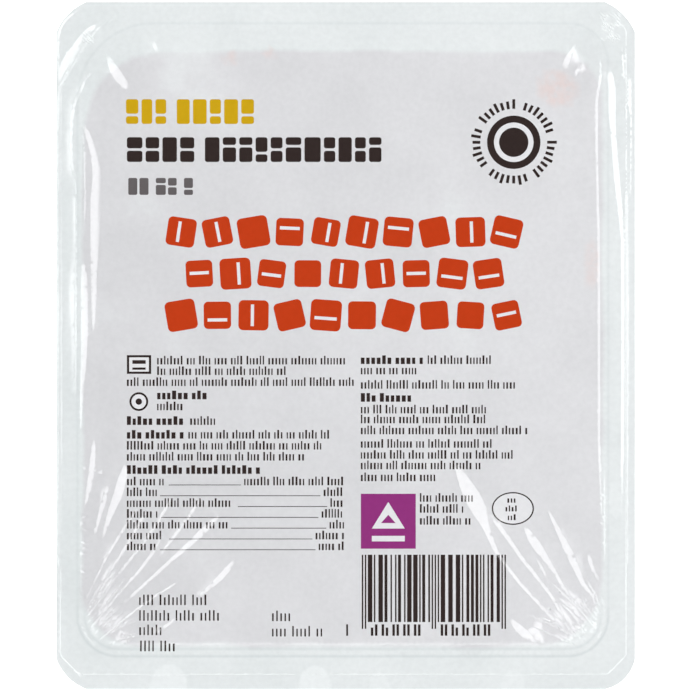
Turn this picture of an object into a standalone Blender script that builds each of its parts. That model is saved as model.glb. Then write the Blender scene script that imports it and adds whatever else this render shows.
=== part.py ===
"""A sealed tray pack of bacon dice, lying on its base with its printed film up.

Metres, +Z up. The origin is on the ground under the middle of the pack, and +Y is the top of the print.
The rim is wider on the right and at the foot of the print, so the hollow is off the middle. Its top left
corner has a larger radius, which leaves a broad flat there to peel the film from.
"""

import math
import random

import bmesh
import bpy
from mathutils import Euler, Vector

MM = 0.001

# Size over all, and the width of the rim on each side of the hollow
PACK_WIDTH = 126.3 * MM
PACK_LENGTH = 150.0 * MM
RIM_LEFT = 4.9 * MM
RIM_RIGHT = 6.2 * MM
RIM_TOP = 5.0 * MM
RIM_FOOT = 7.5 * MM

# Corners in plan. The trimmed edge's corners are cut off by arcs that meet its sides at an angle, from foot
# right anticlockwise. The hollow's arcs run smoothly into its sides, and the peel corner's is larger.
TRIM_CUT = 6.5 * MM
TRIM_RADII = (8.5 * MM, 13.0 * MM, 12.5 * MM, 11.5 * MM)
HOLLOW_RADIUS = 8.5 * MM
PEEL_RADIUS = 16.5 * MM
LEAST_RADIUS = 3.0 * MM
RADIUS_LOSS = 0.35

# Tray section: heights from the ground, insets from the hollow's edge
WALL = 0.5 * MM
RIM_HEIGHT = 28.0 * MM
LIP_RADIUS = 0.8 * MM
LEDGE_DROP = 5.0 * MM
LEDGE_INSET = 1.5 * MM
LEDGE_WIDTH = 1.1 * MM
LEDGE_FALL = 0.6 * MM
FOOT_RADIUS = 4.5 * MM
FOOT_INSET = 5.5 * MM

# Stiffening ribs pressed up into the base
RIB_COUNT = 4
RIB_PITCH = 28.0 * MM
RIB_LENGTH = 74.0 * MM
RIB_WIDTH = 5.0 * MM
RIB_RISE = 1.0 * MM
RIB_TAPER = 0.6 * MM
RIB_END = 0.98
RIB_ARC_STEPS = 4

# Printed film: it lies on the rim and sags between its edges on to the dice
GAP = 0.3 * MM
FILM = 0.4 * MM
SLOPE_WIDTH = 5.2 * MM
SLOPE_FALL = 0.9 * MM
MIDDLE_FALL = 1.2 * MM
MIDDLE_INSET = 28.0 * MM
SLOPE_RINGS = (0.0, 0.3, 0.6, 1.0)
RING_PITCH = 6.2 * MM
LUMP_COLUMNS = 5
LUMP_ROWS = 6
LUMP_RISE = 0.45 * MM
LUMP_WIDTH = 8.0 * MM
LUMP_PLACE = (0.2, 0.8)
LUMP_SHARE = (0.3, 1.0)
LUMP_SEED = 11

# Bacon dice
DIE_SIDE = 9.0 * MM
DIE_SPREAD = 0.16
DIE_PITCH = 10.6 * MM
DIE_SHIFT = 1.3 * MM
DIE_LEAN = 16.0
WALL_TURN = 14.0
FREE_TURN = 90.0
CORE_COVER = 4.5 * MM
CORE_LEVELS = 4
CORE_ARC_STEPS = 3
LAYERS = 3
PUSH_STEP = 0.4 * MM
PUSH_LIMIT = 24
DICE_SEED = 5

TRAY_ARC_STEPS = 8
FILM_ARC_STEPS = 6
FILM_SIDE_POINTS = 10
SECTION_ARC_STEPS = 5
SMOOTH_BELOW = 35.0
DICE_SMOOTH_BELOW = 20.0

HOLLOW_LEFT = -PACK_WIDTH / 2 + RIM_LEFT
HOLLOW_RIGHT = PACK_WIDTH / 2 - RIM_RIGHT
HOLLOW_FOOT = -PACK_LENGTH / 2 + RIM_FOOT
HOLLOW_TOP = PACK_LENGTH / 2 - RIM_TOP
MIDDLE_X = (HOLLOW_LEFT + HOLLOW_RIGHT) / 2
MIDDLE_Y = (HOLLOW_FOOT + HOLLOW_TOP) / 2
FILM_UNDERSIDE = RIM_HEIGHT + GAP
FOOD_FLOOR = WALL + RIB_RISE + GAP


def clear_scene():
    for obj in list(bpy.data.objects):
        bpy.data.objects.remove(obj, do_unlink=True)


def material(name, colour, roughness, transmission=0.0):
    made = bpy.data.materials.new(name)
    made.use_nodes = True
    shader = made.node_tree.nodes["Principled BSDF"]
    shader.inputs["Base Color"].default_value = (*colour, 1.0)
    shader.inputs["Roughness"].default_value = roughness
    shader.inputs["Metallic"].default_value = 0.0
    shader.inputs["Transmission Weight"].default_value = transmission
    return made


def arc(centre, radius, start, end, steps):
    """Points of an arc between two angles in degrees, both ends included."""
    angles = [math.radians(start + (end - start) * i / steps) for i in range(steps + 1)]
    return [(centre[0] + radius * math.cos(a), centre[1] + radius * math.sin(a)) for a in angles]


def smooth(share):
    """An even S curve from 0 to 1."""
    share = min(max(share, 0.0), 1.0)
    return share * share * (3.0 - 2.0 * share)


def outline(box, radii, arc_steps, side_points=0, cut=None):
    """A rounded rectangle anticlockwise from its foot right corner, each side cut by side_points points.

    With a cut, each corner's arc starts and ends that far from the corner. Without one it is tangent to the sides.
    """
    left, right, foot, top = box
    signs = ((1, -1), (1, 1), (-1, 1), (-1, -1))
    corners = []
    for i, ((side, end), radius) in enumerate(zip(signs, radii)):
        slack = math.acos((cut or radius) / (radius * math.sqrt(2.0))) - math.pi / 4
        setback = radius * math.cos(slack)
        corner = (right if side > 0 else left, top if end > 0 else foot)
        centre = (corner[0] - side * setback, corner[1] - end * setback)
        short = math.degrees(slack)
        corners.append(arc(centre, radius, -90 + 90 * i + short, 90 * i - short, arc_steps))
    points = []
    for corner, following in zip(corners, corners[1:] + corners[:1]):
        points += corner
        start = Vector(corner[-1])
        end = Vector(following[0])
        for i in range(1, side_points + 1):
            points.append(tuple(start.lerp(end, i / (side_points + 1))))
    return points


def trim_outline(arc_steps, side_points=0):
    """The edge to which rim and film are cut together."""
    box = (-PACK_WIDTH / 2, PACK_WIDTH / 2, -PACK_LENGTH / 2, PACK_LENGTH / 2)
    return outline(box, TRIM_RADII, arc_steps, side_points, TRIM_CUT)


def hollow_box(inset):
    return (HOLLOW_LEFT + inset, HOLLOW_RIGHT - inset, HOLLOW_FOOT + inset, HOLLOW_TOP - inset)


def hollow_radii(inset):
    """Corner radii of the hollow at this inset: foot right, top right, top left (peel corner), foot left."""
    full = (HOLLOW_RADIUS, HOLLOW_RADIUS, PEEL_RADIUS, HOLLOW_RADIUS)
    return [max(radius - RADIUS_LOSS * inset, LEAST_RADIUS) for radius in full]


def hollow_outline(inset, arc_steps, side_points=0):
    return outline(hollow_box(inset), hollow_radii(inset), arc_steps, side_points)


def depth_inside(x, y, inset):
    """How far a point lies inside the hollow's outline at this inset, negative outside it."""
    left, right, foot, top = hollow_box(inset)
    radii = hollow_radii(inset)
    east = x > (left + right) / 2
    north = y > (foot + top) / 2
    radius = radii[(1 if north else 0) if east else (2 if north else 3)]
    across = abs(x - (left + right) / 2) - ((right - left) / 2 - radius)
    along = abs(y - (foot + top) / 2) - ((top - foot) / 2 - radius)
    return radius - math.hypot(max(across, 0.0), max(along, 0.0)) - min(max(across, along), 0.0)


def tray_section():
    """The tray's inner face from the hollow's edge down to its floor, as (inset, height)."""
    lip = arc((0.0, RIM_HEIGHT - LIP_RADIUS), LIP_RADIUS, 90, 0, SECTION_ARC_STEPS)
    ledge = [
        (LEDGE_INSET, RIM_HEIGHT - LEDGE_DROP),
        (LEDGE_INSET + LEDGE_WIDTH, RIM_HEIGHT - LEDGE_DROP - LEDGE_FALL),
    ]
    foot_centre = (FOOT_INSET + FOOT_RADIUS, WALL + FOOT_RADIUS)
    return lip + ledge + arc(foot_centre, FOOT_RADIUS, 180, 270, SECTION_ARC_STEPS)


def offset_section(section, distance):
    """The same section moved outward and down by this distance, measured square to it."""
    moved = []
    for i, (inset, height) in enumerate(section):
        before = section[max(i - 1, 0)]
        after = section[min(i + 1, len(section) - 1)]
        first = Vector((inset - before[0], height - before[1])).normalized()
        second = Vector((after[0] - inset, after[1] - height)).normalized()
        if i == 0:
            first = Vector((1.0, 0.0))
        if i == len(section) - 1:
            second = Vector((1.0, 0.0))
        along = (first + second).normalized()
        stretch = distance / along.dot(second)
        moved.append((inset + along.y * stretch, height - along.x * stretch))
    return moved


def wall_inset(height):
    """Inset of the tray's inner face at this height."""
    section = tray_section()
    for (inset, upper), (next_inset, lower) in zip(section, section[1:]):
        if lower <= height <= upper:
            share = (upper - height) / (upper - lower)
            return inset + (next_inset - inset) * share
    return section[-1][0] if height < section[-1][1] else 0.0


def loft(name, loops):
    """A closed mesh through loops of equally many (x, y, z) points, the first and last of them capped."""
    mesh = bpy.data.meshes.new(name)
    build = bmesh.new()
    rings = [[build.verts.new(point) for point in loop] for loop in loops]
    count = len(rings[0])
    for ring, following in zip(rings, rings[1:]):
        for i in range(count):
            j = (i + 1) % count
            build.faces.new((ring[i], ring[j], following[j], following[i]))
    build.faces.new(rings[0])
    build.faces.new(list(reversed(rings[-1])))
    bmesh.ops.recalc_face_normals(build, faces=build.faces)
    build.to_mesh(mesh)
    build.free()
    return mesh


def add_object(name, mesh, look=None):
    obj = bpy.data.objects.new(name, mesh)
    bpy.context.scene.collection.objects.link(obj)
    if look:
        mesh.materials.append(look)
    mesh.shade_smooth()
    mesh.set_sharp_from_angle(angle=math.radians(SMOOTH_BELOW))
    return obj


def at_height(points, height):
    return [(x, y, height) for x, y in points]


def ribs(name, low, high, narrower):
    """The base ribs as one mesh: rounded bars across the base, tapering as they rise."""
    made = []
    for i in range(RIB_COUNT):
        y = MIDDLE_Y + RIB_PITCH * (i - (RIB_COUNT - 1) / 2)
        loops = []
        for height, taper in ((low, 0.0), (high, RIB_TAPER)):
            half_length = RIB_LENGTH / 2 - narrower - taper
            half_width = RIB_WIDTH / 2 - narrower - taper
            box = (MIDDLE_X - half_length, MIDDLE_X + half_length, y - half_width, y + half_width)
            ends = [half_width * RIB_END] * 4
            loops.append(at_height(outline(box, ends, RIB_ARC_STEPS), height))
        made.append(loft(f"{name}_{i}", loops))
    build = bmesh.new()
    for mesh in made:
        build.from_mesh(mesh)
        bpy.data.meshes.remove(mesh)
    joined = bpy.data.meshes.new(name)
    build.to_mesh(joined)
    build.free()
    return joined


def boolean(obj, other, operation):
    """Joins or cuts obj by another object, which stays as a hidden helper."""
    other.hide_render = True
    other.display_type = "WIRE"
    modifier = obj.modifiers.new(other.name, "BOOLEAN")
    modifier.operation = operation
    modifier.object = other


def make_tray(look):
    """Thermoformed tray: rim, lip, stacking ledge, drafted wall, rounded foot and ribbed base."""
    inner = tray_section()
    outer = offset_section(inner, WALL)
    steps = TRAY_ARC_STEPS
    loops = [at_height(hollow_outline(inset, steps), height) for inset, height in reversed(inner)]
    loops.append(at_height(trim_outline(steps), RIM_HEIGHT))
    loops.append(at_height(trim_outline(steps), RIM_HEIGHT - WALL))
    loops += [at_height(hollow_outline(inset, steps), height) for inset, height in outer]
    tray = add_object("tray", loft("tray", loops), look)
    ridges = add_object("rib_ridges", ribs("rib_ridges", WALL / 2, WALL + RIB_RISE, 0.0))
    grooves = add_object("rib_grooves", ribs("rib_grooves", -WALL, RIB_RISE, WALL))
    boolean(tray, ridges, "UNION")
    boolean(tray, grooves, "DIFFERENCE")
    return tray


def lump_places():
    """Where dice push the film up: one place in each cell of a loose grid, as (x, y, rise)."""
    rng = random.Random(LUMP_SEED)
    left, right, foot, top = hollow_box(SLOPE_WIDTH * 2)
    places = []
    for row in range(LUMP_ROWS):
        for column in range(LUMP_COLUMNS):
            x = left + (right - left) * (column + rng.uniform(*LUMP_PLACE)) / LUMP_COLUMNS
            y = foot + (top - foot) * (row + rng.uniform(*LUMP_PLACE)) / LUMP_ROWS
            places.append((x, y, LUMP_RISE * rng.uniform(*LUMP_SHARE)))
    return places


def film_fall(x, y, lumps):
    """How far the film hangs below the rim at a point."""
    depth = depth_inside(x, y, 0.0)
    fall = SLOPE_FALL * smooth(depth / SLOPE_WIDTH) + MIDDLE_FALL * smooth(depth / MIDDLE_INSET)
    reach = smooth((depth - SLOPE_WIDTH / 2) / SLOPE_WIDTH)
    for lump_x, lump_y, rise in lumps:
        apart = math.hypot(x - lump_x, y - lump_y) / LUMP_WIDTH
        fall -= reach * rise * math.exp(-apart * apart)
    return fall


def make_film(look):
    """The printed film as one dished sheet, its rings closing in from the trimmed edge to the middle."""
    lumps = lump_places()
    insets = [share * SLOPE_WIDTH for share in SLOPE_RINGS]
    while insets[-1] + RING_PITCH < (HOLLOW_RIGHT - HOLLOW_LEFT) / 2 - LEAST_RADIUS:
        insets.append(insets[-1] + RING_PITCH)
    rings = [trim_outline(FILM_ARC_STEPS, FILM_SIDE_POINTS)]
    rings += [hollow_outline(inset, FILM_ARC_STEPS, FILM_SIDE_POINTS) for inset in insets]
    underside = []
    for ring in rings:
        underside.append([(x, y, FILM_UNDERSIDE - film_fall(x, y, lumps)) for x, y in ring])
    level = min(z for _, _, z in underside[-1])
    underside[-1] = at_height(rings[-1], level)
    upper = [[(x, y, z + FILM) for x, y, z in ring] for ring in underside]
    return add_object("lid_film", loft("lid_film", list(reversed(upper)) + underside), look)


def die_corners(centre, half, turn):
    signs = [(i, j, k) for i in (-1, 1) for j in (-1, 1) for k in (-1, 1)]
    corners = []
    for i, j, k in signs:
        corner = Vector((i * half[0], j * half[1], k * half[2]))
        corner.rotate(turn)
        corners.append(centre + corner)
    return corners


def die_fits(corners, lumps):
    """Whether a die is clear of the tray, its ribs and the film above."""
    for corner in corners:
        if corner.z < FOOD_FLOOR:
            return False
        if corner.z > FILM_UNDERSIDE - film_fall(corner.x, corner.y, lumps) - 2 * GAP:
            return False
        if depth_inside(corner.x, corner.y, wall_inset(corner.z)) < GAP:
            return False
    return True


def settle_die(centre, half, turn, lumps):
    """The die's centre moved in from the walls, floor and film until it is clear of them, or None."""
    middle = Vector((MIDDLE_X, MIDDLE_Y, centre.z))
    for _ in range(PUSH_LIMIT):
        corners = die_corners(centre, half, turn)
        if die_fits(corners, lumps):
            return centre
        lowest = min(corner.z for corner in corners)
        if lowest < FOOD_FLOOR:
            centre = centre + Vector((0.0, 0.0, FOOD_FLOOR - lowest))
            continue
        if all(depth_inside(c.x, c.y, wall_inset(c.z)) >= GAP for c in corners):
            centre = centre - Vector((0.0, 0.0, PUSH_STEP))
            continue
        inward = middle - centre
        inward.z = 0.0
        centre = centre + inward.normalized() * PUSH_STEP
    return None


def dice_of_layer(layer, rng, lumps):
    """The dice of one layer that can be seen: all of the lowest and highest, and the outer ring between."""
    half_side = DIE_SIDE / 2
    low = FOOD_FLOOR + half_side
    high = FILM_UNDERSIDE - SLOPE_FALL - MIDDLE_FALL - GAP - half_side
    height = low + (high - low) * layer / (LAYERS - 1)
    left, right, foot, top = hollow_box(wall_inset(height - half_side) + GAP + half_side)
    columns = round((right - left) / DIE_PITCH) + 1
    rows = round((top - foot) / DIE_PITCH) + 1
    found = []
    for row in range(rows):
        for column in range(columns):
            x = left + (right - left) * column / (columns - 1)
            y = foot + (top - foot) * row / (rows - 1)
            half = [half_side * rng.uniform(1 - DIE_SPREAD, 1 + DIE_SPREAD) for _ in range(3)]
            shift = Vector((rng.uniform(-1, 1), rng.uniform(-1, 1), rng.uniform(-1, 1))) * DIE_SHIFT
            at_edge = row in (0, rows - 1) or column in (0, columns - 1)
            turn_limit = WALL_TURN if at_edge else FREE_TURN
            lean = DIE_LEAN if layer == LAYERS - 1 else 0.0
            turn = Euler(
                [math.radians(rng.uniform(-limit, limit)) for limit in (lean, lean, turn_limit)]
            )
            inner = 0 < layer < LAYERS - 1 and not at_edge
            skipped = layer == 0 and not at_edge and (row + column) % 2
            if inner or skipped:
                continue
            centre = settle_die(Vector((x, y, height)) + shift, half, turn, lumps)
            if centre:
                found.append((centre, half, turn))
    return found


def die_mesh(name, centre, half, turn):
    mesh = bpy.data.meshes.new(name)
    build = bmesh.new()
    bmesh.ops.create_cube(build, size=2.0)
    for vertex in build.verts:
        point = Vector((vertex.co.x * half[0], vertex.co.y * half[1], vertex.co.z * half[2]))
        point.rotate(turn)
        vertex.co = point + centre
    build.to_mesh(mesh)
    build.free()
    return mesh


def core_mesh():
    """The dice that can't be seen, as one block that follows the tray's wall."""
    low = FOOD_FLOOR + CORE_COVER / 2
    high = FILM_UNDERSIDE - SLOPE_FALL - MIDDLE_FALL - CORE_COVER
    loops = []
    for level in range(CORE_LEVELS):
        height = low + (high - low) * level / (CORE_LEVELS - 1)
        inset = wall_inset(height) + CORE_COVER
        loops.append(at_height(hollow_outline(inset, CORE_ARC_STEPS), height))
    return loft("bacon_dice", loops)


def largest_body(mesh):
    """Drops every closed surface of the mesh but the largest: loose scraps and sealed hollows."""
    build = bmesh.new()
    build.from_mesh(mesh)
    waiting = set(build.verts)
    bodies = []
    while waiting:
        found = {waiting.pop()}
        front = list(found)
        while front:
            vertex = front.pop()
            near = {edge.other_vert(vertex) for edge in vertex.link_edges} - found
            found |= near
            front += near
        waiting -= found
        bodies.append(found)
    bodies.sort(key=len)
    for body in bodies[:-1]:
        bmesh.ops.delete(build, geom=list(body), context="VERTS")
    build.to_mesh(mesh)
    build.free()


def make_dice(look):
    """The heap: its core with every die that shows fused on."""
    rng = random.Random(DICE_SEED)
    lumps = lump_places()
    heap = add_object("bacon_dice", core_mesh(), look)
    pieces = bpy.data.collections.new("dice_pieces")
    bpy.context.scene.collection.children.link(pieces)
    for layer in range(LAYERS):
        for centre, half, turn in dice_of_layer(layer, rng, lumps):
            mesh = die_mesh("die", centre, half, turn)
            pieces.objects.link(bpy.data.objects.new("die", mesh))
    union = heap.modifiers.new("join", "BOOLEAN")
    union.operation = "UNION"
    union.operand_type = "COLLECTION"
    union.collection = pieces
    union.solver = "MANIFOLD"
    bpy.context.view_layer.update()
    evaluated = heap.evaluated_get(bpy.context.evaluated_depsgraph_get())
    joined = bpy.data.meshes.new_from_object(evaluated)
    heap.modifiers.clear()
    heap.data = joined
    for piece in list(pieces.objects):
        bpy.data.objects.remove(piece, do_unlink=True)
    bpy.data.collections.remove(pieces)
    largest_body(joined)
    joined.set_sharp_from_angle(angle=math.radians(DICE_SMOOTH_BELOW))
    return heap


def main():
    clear_scene()
    clear_plastic = material("clear_plastic", (0.86, 0.92, 0.92), 0.08, transmission=0.9)
    bacon = material("bacon", (0.72, 0.33, 0.27), 0.35)
    printed_film = material("printed_film", (0.80, 0.81, 0.83), 0.25)
    make_tray(clear_plastic)
    make_dice(bacon)
    make_film(printed_film)


main()
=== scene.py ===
"""Looks of the sealed pack of bacon dice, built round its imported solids.

Lengths are in millimetres on the pack's plan, with the origin on the ground under its middle, and become
metres when a mesh is made. +Y is the top of the print.
"""

import math
import random

import bpy
import numpy as np
from mathutils import Euler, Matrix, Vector
from mathutils.geometry import delaunay_2d_cdt


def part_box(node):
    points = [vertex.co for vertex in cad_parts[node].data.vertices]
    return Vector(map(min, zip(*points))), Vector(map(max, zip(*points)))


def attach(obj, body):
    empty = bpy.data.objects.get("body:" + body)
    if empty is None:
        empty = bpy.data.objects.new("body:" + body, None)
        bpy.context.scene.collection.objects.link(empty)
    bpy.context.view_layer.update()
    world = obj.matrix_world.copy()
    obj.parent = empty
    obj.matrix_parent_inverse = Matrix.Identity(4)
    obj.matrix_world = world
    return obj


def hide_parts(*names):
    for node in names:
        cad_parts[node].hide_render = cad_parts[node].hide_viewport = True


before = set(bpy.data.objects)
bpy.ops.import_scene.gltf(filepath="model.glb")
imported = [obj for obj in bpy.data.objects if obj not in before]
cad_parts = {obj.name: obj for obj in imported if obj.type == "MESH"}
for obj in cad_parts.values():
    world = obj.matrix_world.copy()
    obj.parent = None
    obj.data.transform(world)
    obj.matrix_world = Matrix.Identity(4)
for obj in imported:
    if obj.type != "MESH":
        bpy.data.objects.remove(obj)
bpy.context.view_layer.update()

MM = 0.001
TRAY_LOW, TRAY_HIGH = (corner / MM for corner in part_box("tray"))
FILM_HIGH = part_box("lid_film")[1] / MM

# The photograph's frame, and the length of the film that one of its pixels shows
PICTURE_PIXELS = 690
PIXEL = 0.2183
PACK_MIDDLE_PIXEL = (345.75, 345.5)
CAMERA_HEIGHT = 1600.0
SENSOR_WIDTH = 36.0

# Plan of the tray, as in the solids
RIM_LEFT = 4.9
RIM_RIGHT = 6.2
RIM_TOP = 5.0
RIM_FOOT = 7.5
TRIM_CUT = 6.5
TRIM_RADII = (8.5, 13.0, 12.5, 11.5)
HOLLOW_RADIUS = 8.5
PEEL_RADIUS = 16.5
LEAST_RADIUS = 3.0
RADIUS_LOSS = 0.35
HOLLOW_LEFT = TRAY_LOW.x + RIM_LEFT
HOLLOW_RIGHT = TRAY_HIGH.x - RIM_RIGHT
HOLLOW_FOOT = TRAY_LOW.y + RIM_FOOT
HOLLOW_TOP = TRAY_HIGH.y - RIM_TOP
MIDDLE_X = (HOLLOW_LEFT + HOLLOW_RIGHT) / 2
MIDDLE_Y = (HOLLOW_FOOT + HOLLOW_TOP) / 2

# Section of the tray, as in the solids, but with its rim up against the film
WALL = 0.45
LIP_RADIUS = 0.8
LEDGE_DROP = 5.0
LEDGE_INSET = 1.5
LEDGE_WIDTH = 1.1
LEDGE_FALL = 0.6
LEDGE_SOFTENING = (0.15, 0.1)
FOOT_RADIUS = 4.5
FOOT_INSET = 5.5
RIB_COUNT = 4
RIB_PITCH = 28.0
RIB_LENGTH = 74.0
RIB_WIDTH = 5.0
RIB_RISE = 1.0
RIB_TAPER = 1.2

# The film: its thickness, the gap that keeps its lowest step clear of the rim, and the room above it for
# its folds
FILM = 0.12
SEAL_GAP = 0.09
FOLD_ROOM = 0.75
CEILING_GAP = 0.005
FILM_TOP = FILM_HIGH.z - FOLD_ROOM
RIM_HEIGHT = FILM_TOP - FILM - SEAL_GAP
EDGE_FALL = 0.5
EDGE_WIDTH = 5.2
SAG = 1.1
SAG_WIDTH = 30.0

# Steps where the film bends down over the hollow's edge, as (depth of their middle, width, fall): all
# round, and more at the foot
LIP_STEP = (0.45, 0.5, 0.06)
FOOT_STEPS = ((0.45, 0.5, 0.04), (2.3, 1.4, 0.17))
FOOT_STEPS_BELOW = -55.0
FOOT_STEPS_FADE = 9.0

# Dice push the film up from below, one lump in each cell of a loose grid
LUMP_COLUMNS = 9
LUMP_ROWS = 11
LUMP_RISE = 0.2
LUMP_WIDTH = 6.5
LUMP_SCATTER = (0.15, 0.85)
LUMP_SEED = 11

# Long studio lights stand to the left and right, and a fold's face tilts so far that it mirrors one of
# them. Weaker ones stand behind and in front. Each is (middle, size across, size along, radiance)
LIGHT_ASIDE = 290.0
LIGHT_HEIGHT = 600.0
LIGHTS = {
    "left": ((-LIGHT_ASIDE, 0.0, LIGHT_HEIGHT), 190.0, 1400.0, 2.15),
    "right": ((LIGHT_ASIDE, 0.0, LIGHT_HEIGHT), 190.0, 1400.0, 2.25),
    "behind": ((0.0, 450.0, LIGHT_HEIGHT), 500.0, 280.0, 1.5),
    "front": ((0.0, -450.0, LIGHT_HEIGHT), 500.0, 280.0, 1.0),
}

# The folds' section, and the search for the slope that each needs: its first slope, the step over which
# slopes are measured, and how far from a fold others are left out
STEEPEST_FOLD = math.tan(math.radians(33.0))
FOLD_REACH = 2.3
FOLD_LEAST_REACH = 0.8
FOLD_TAPER = 2.0
FOLD_ROUNDS = 4
FIRST_SLOPE = 0.35
SLOPE_STEP = 0.15
LEAST_ACROSS = 0.3
FOLD_MARGIN = 10.0
CLOSE_MARGIN = 6.0

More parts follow.
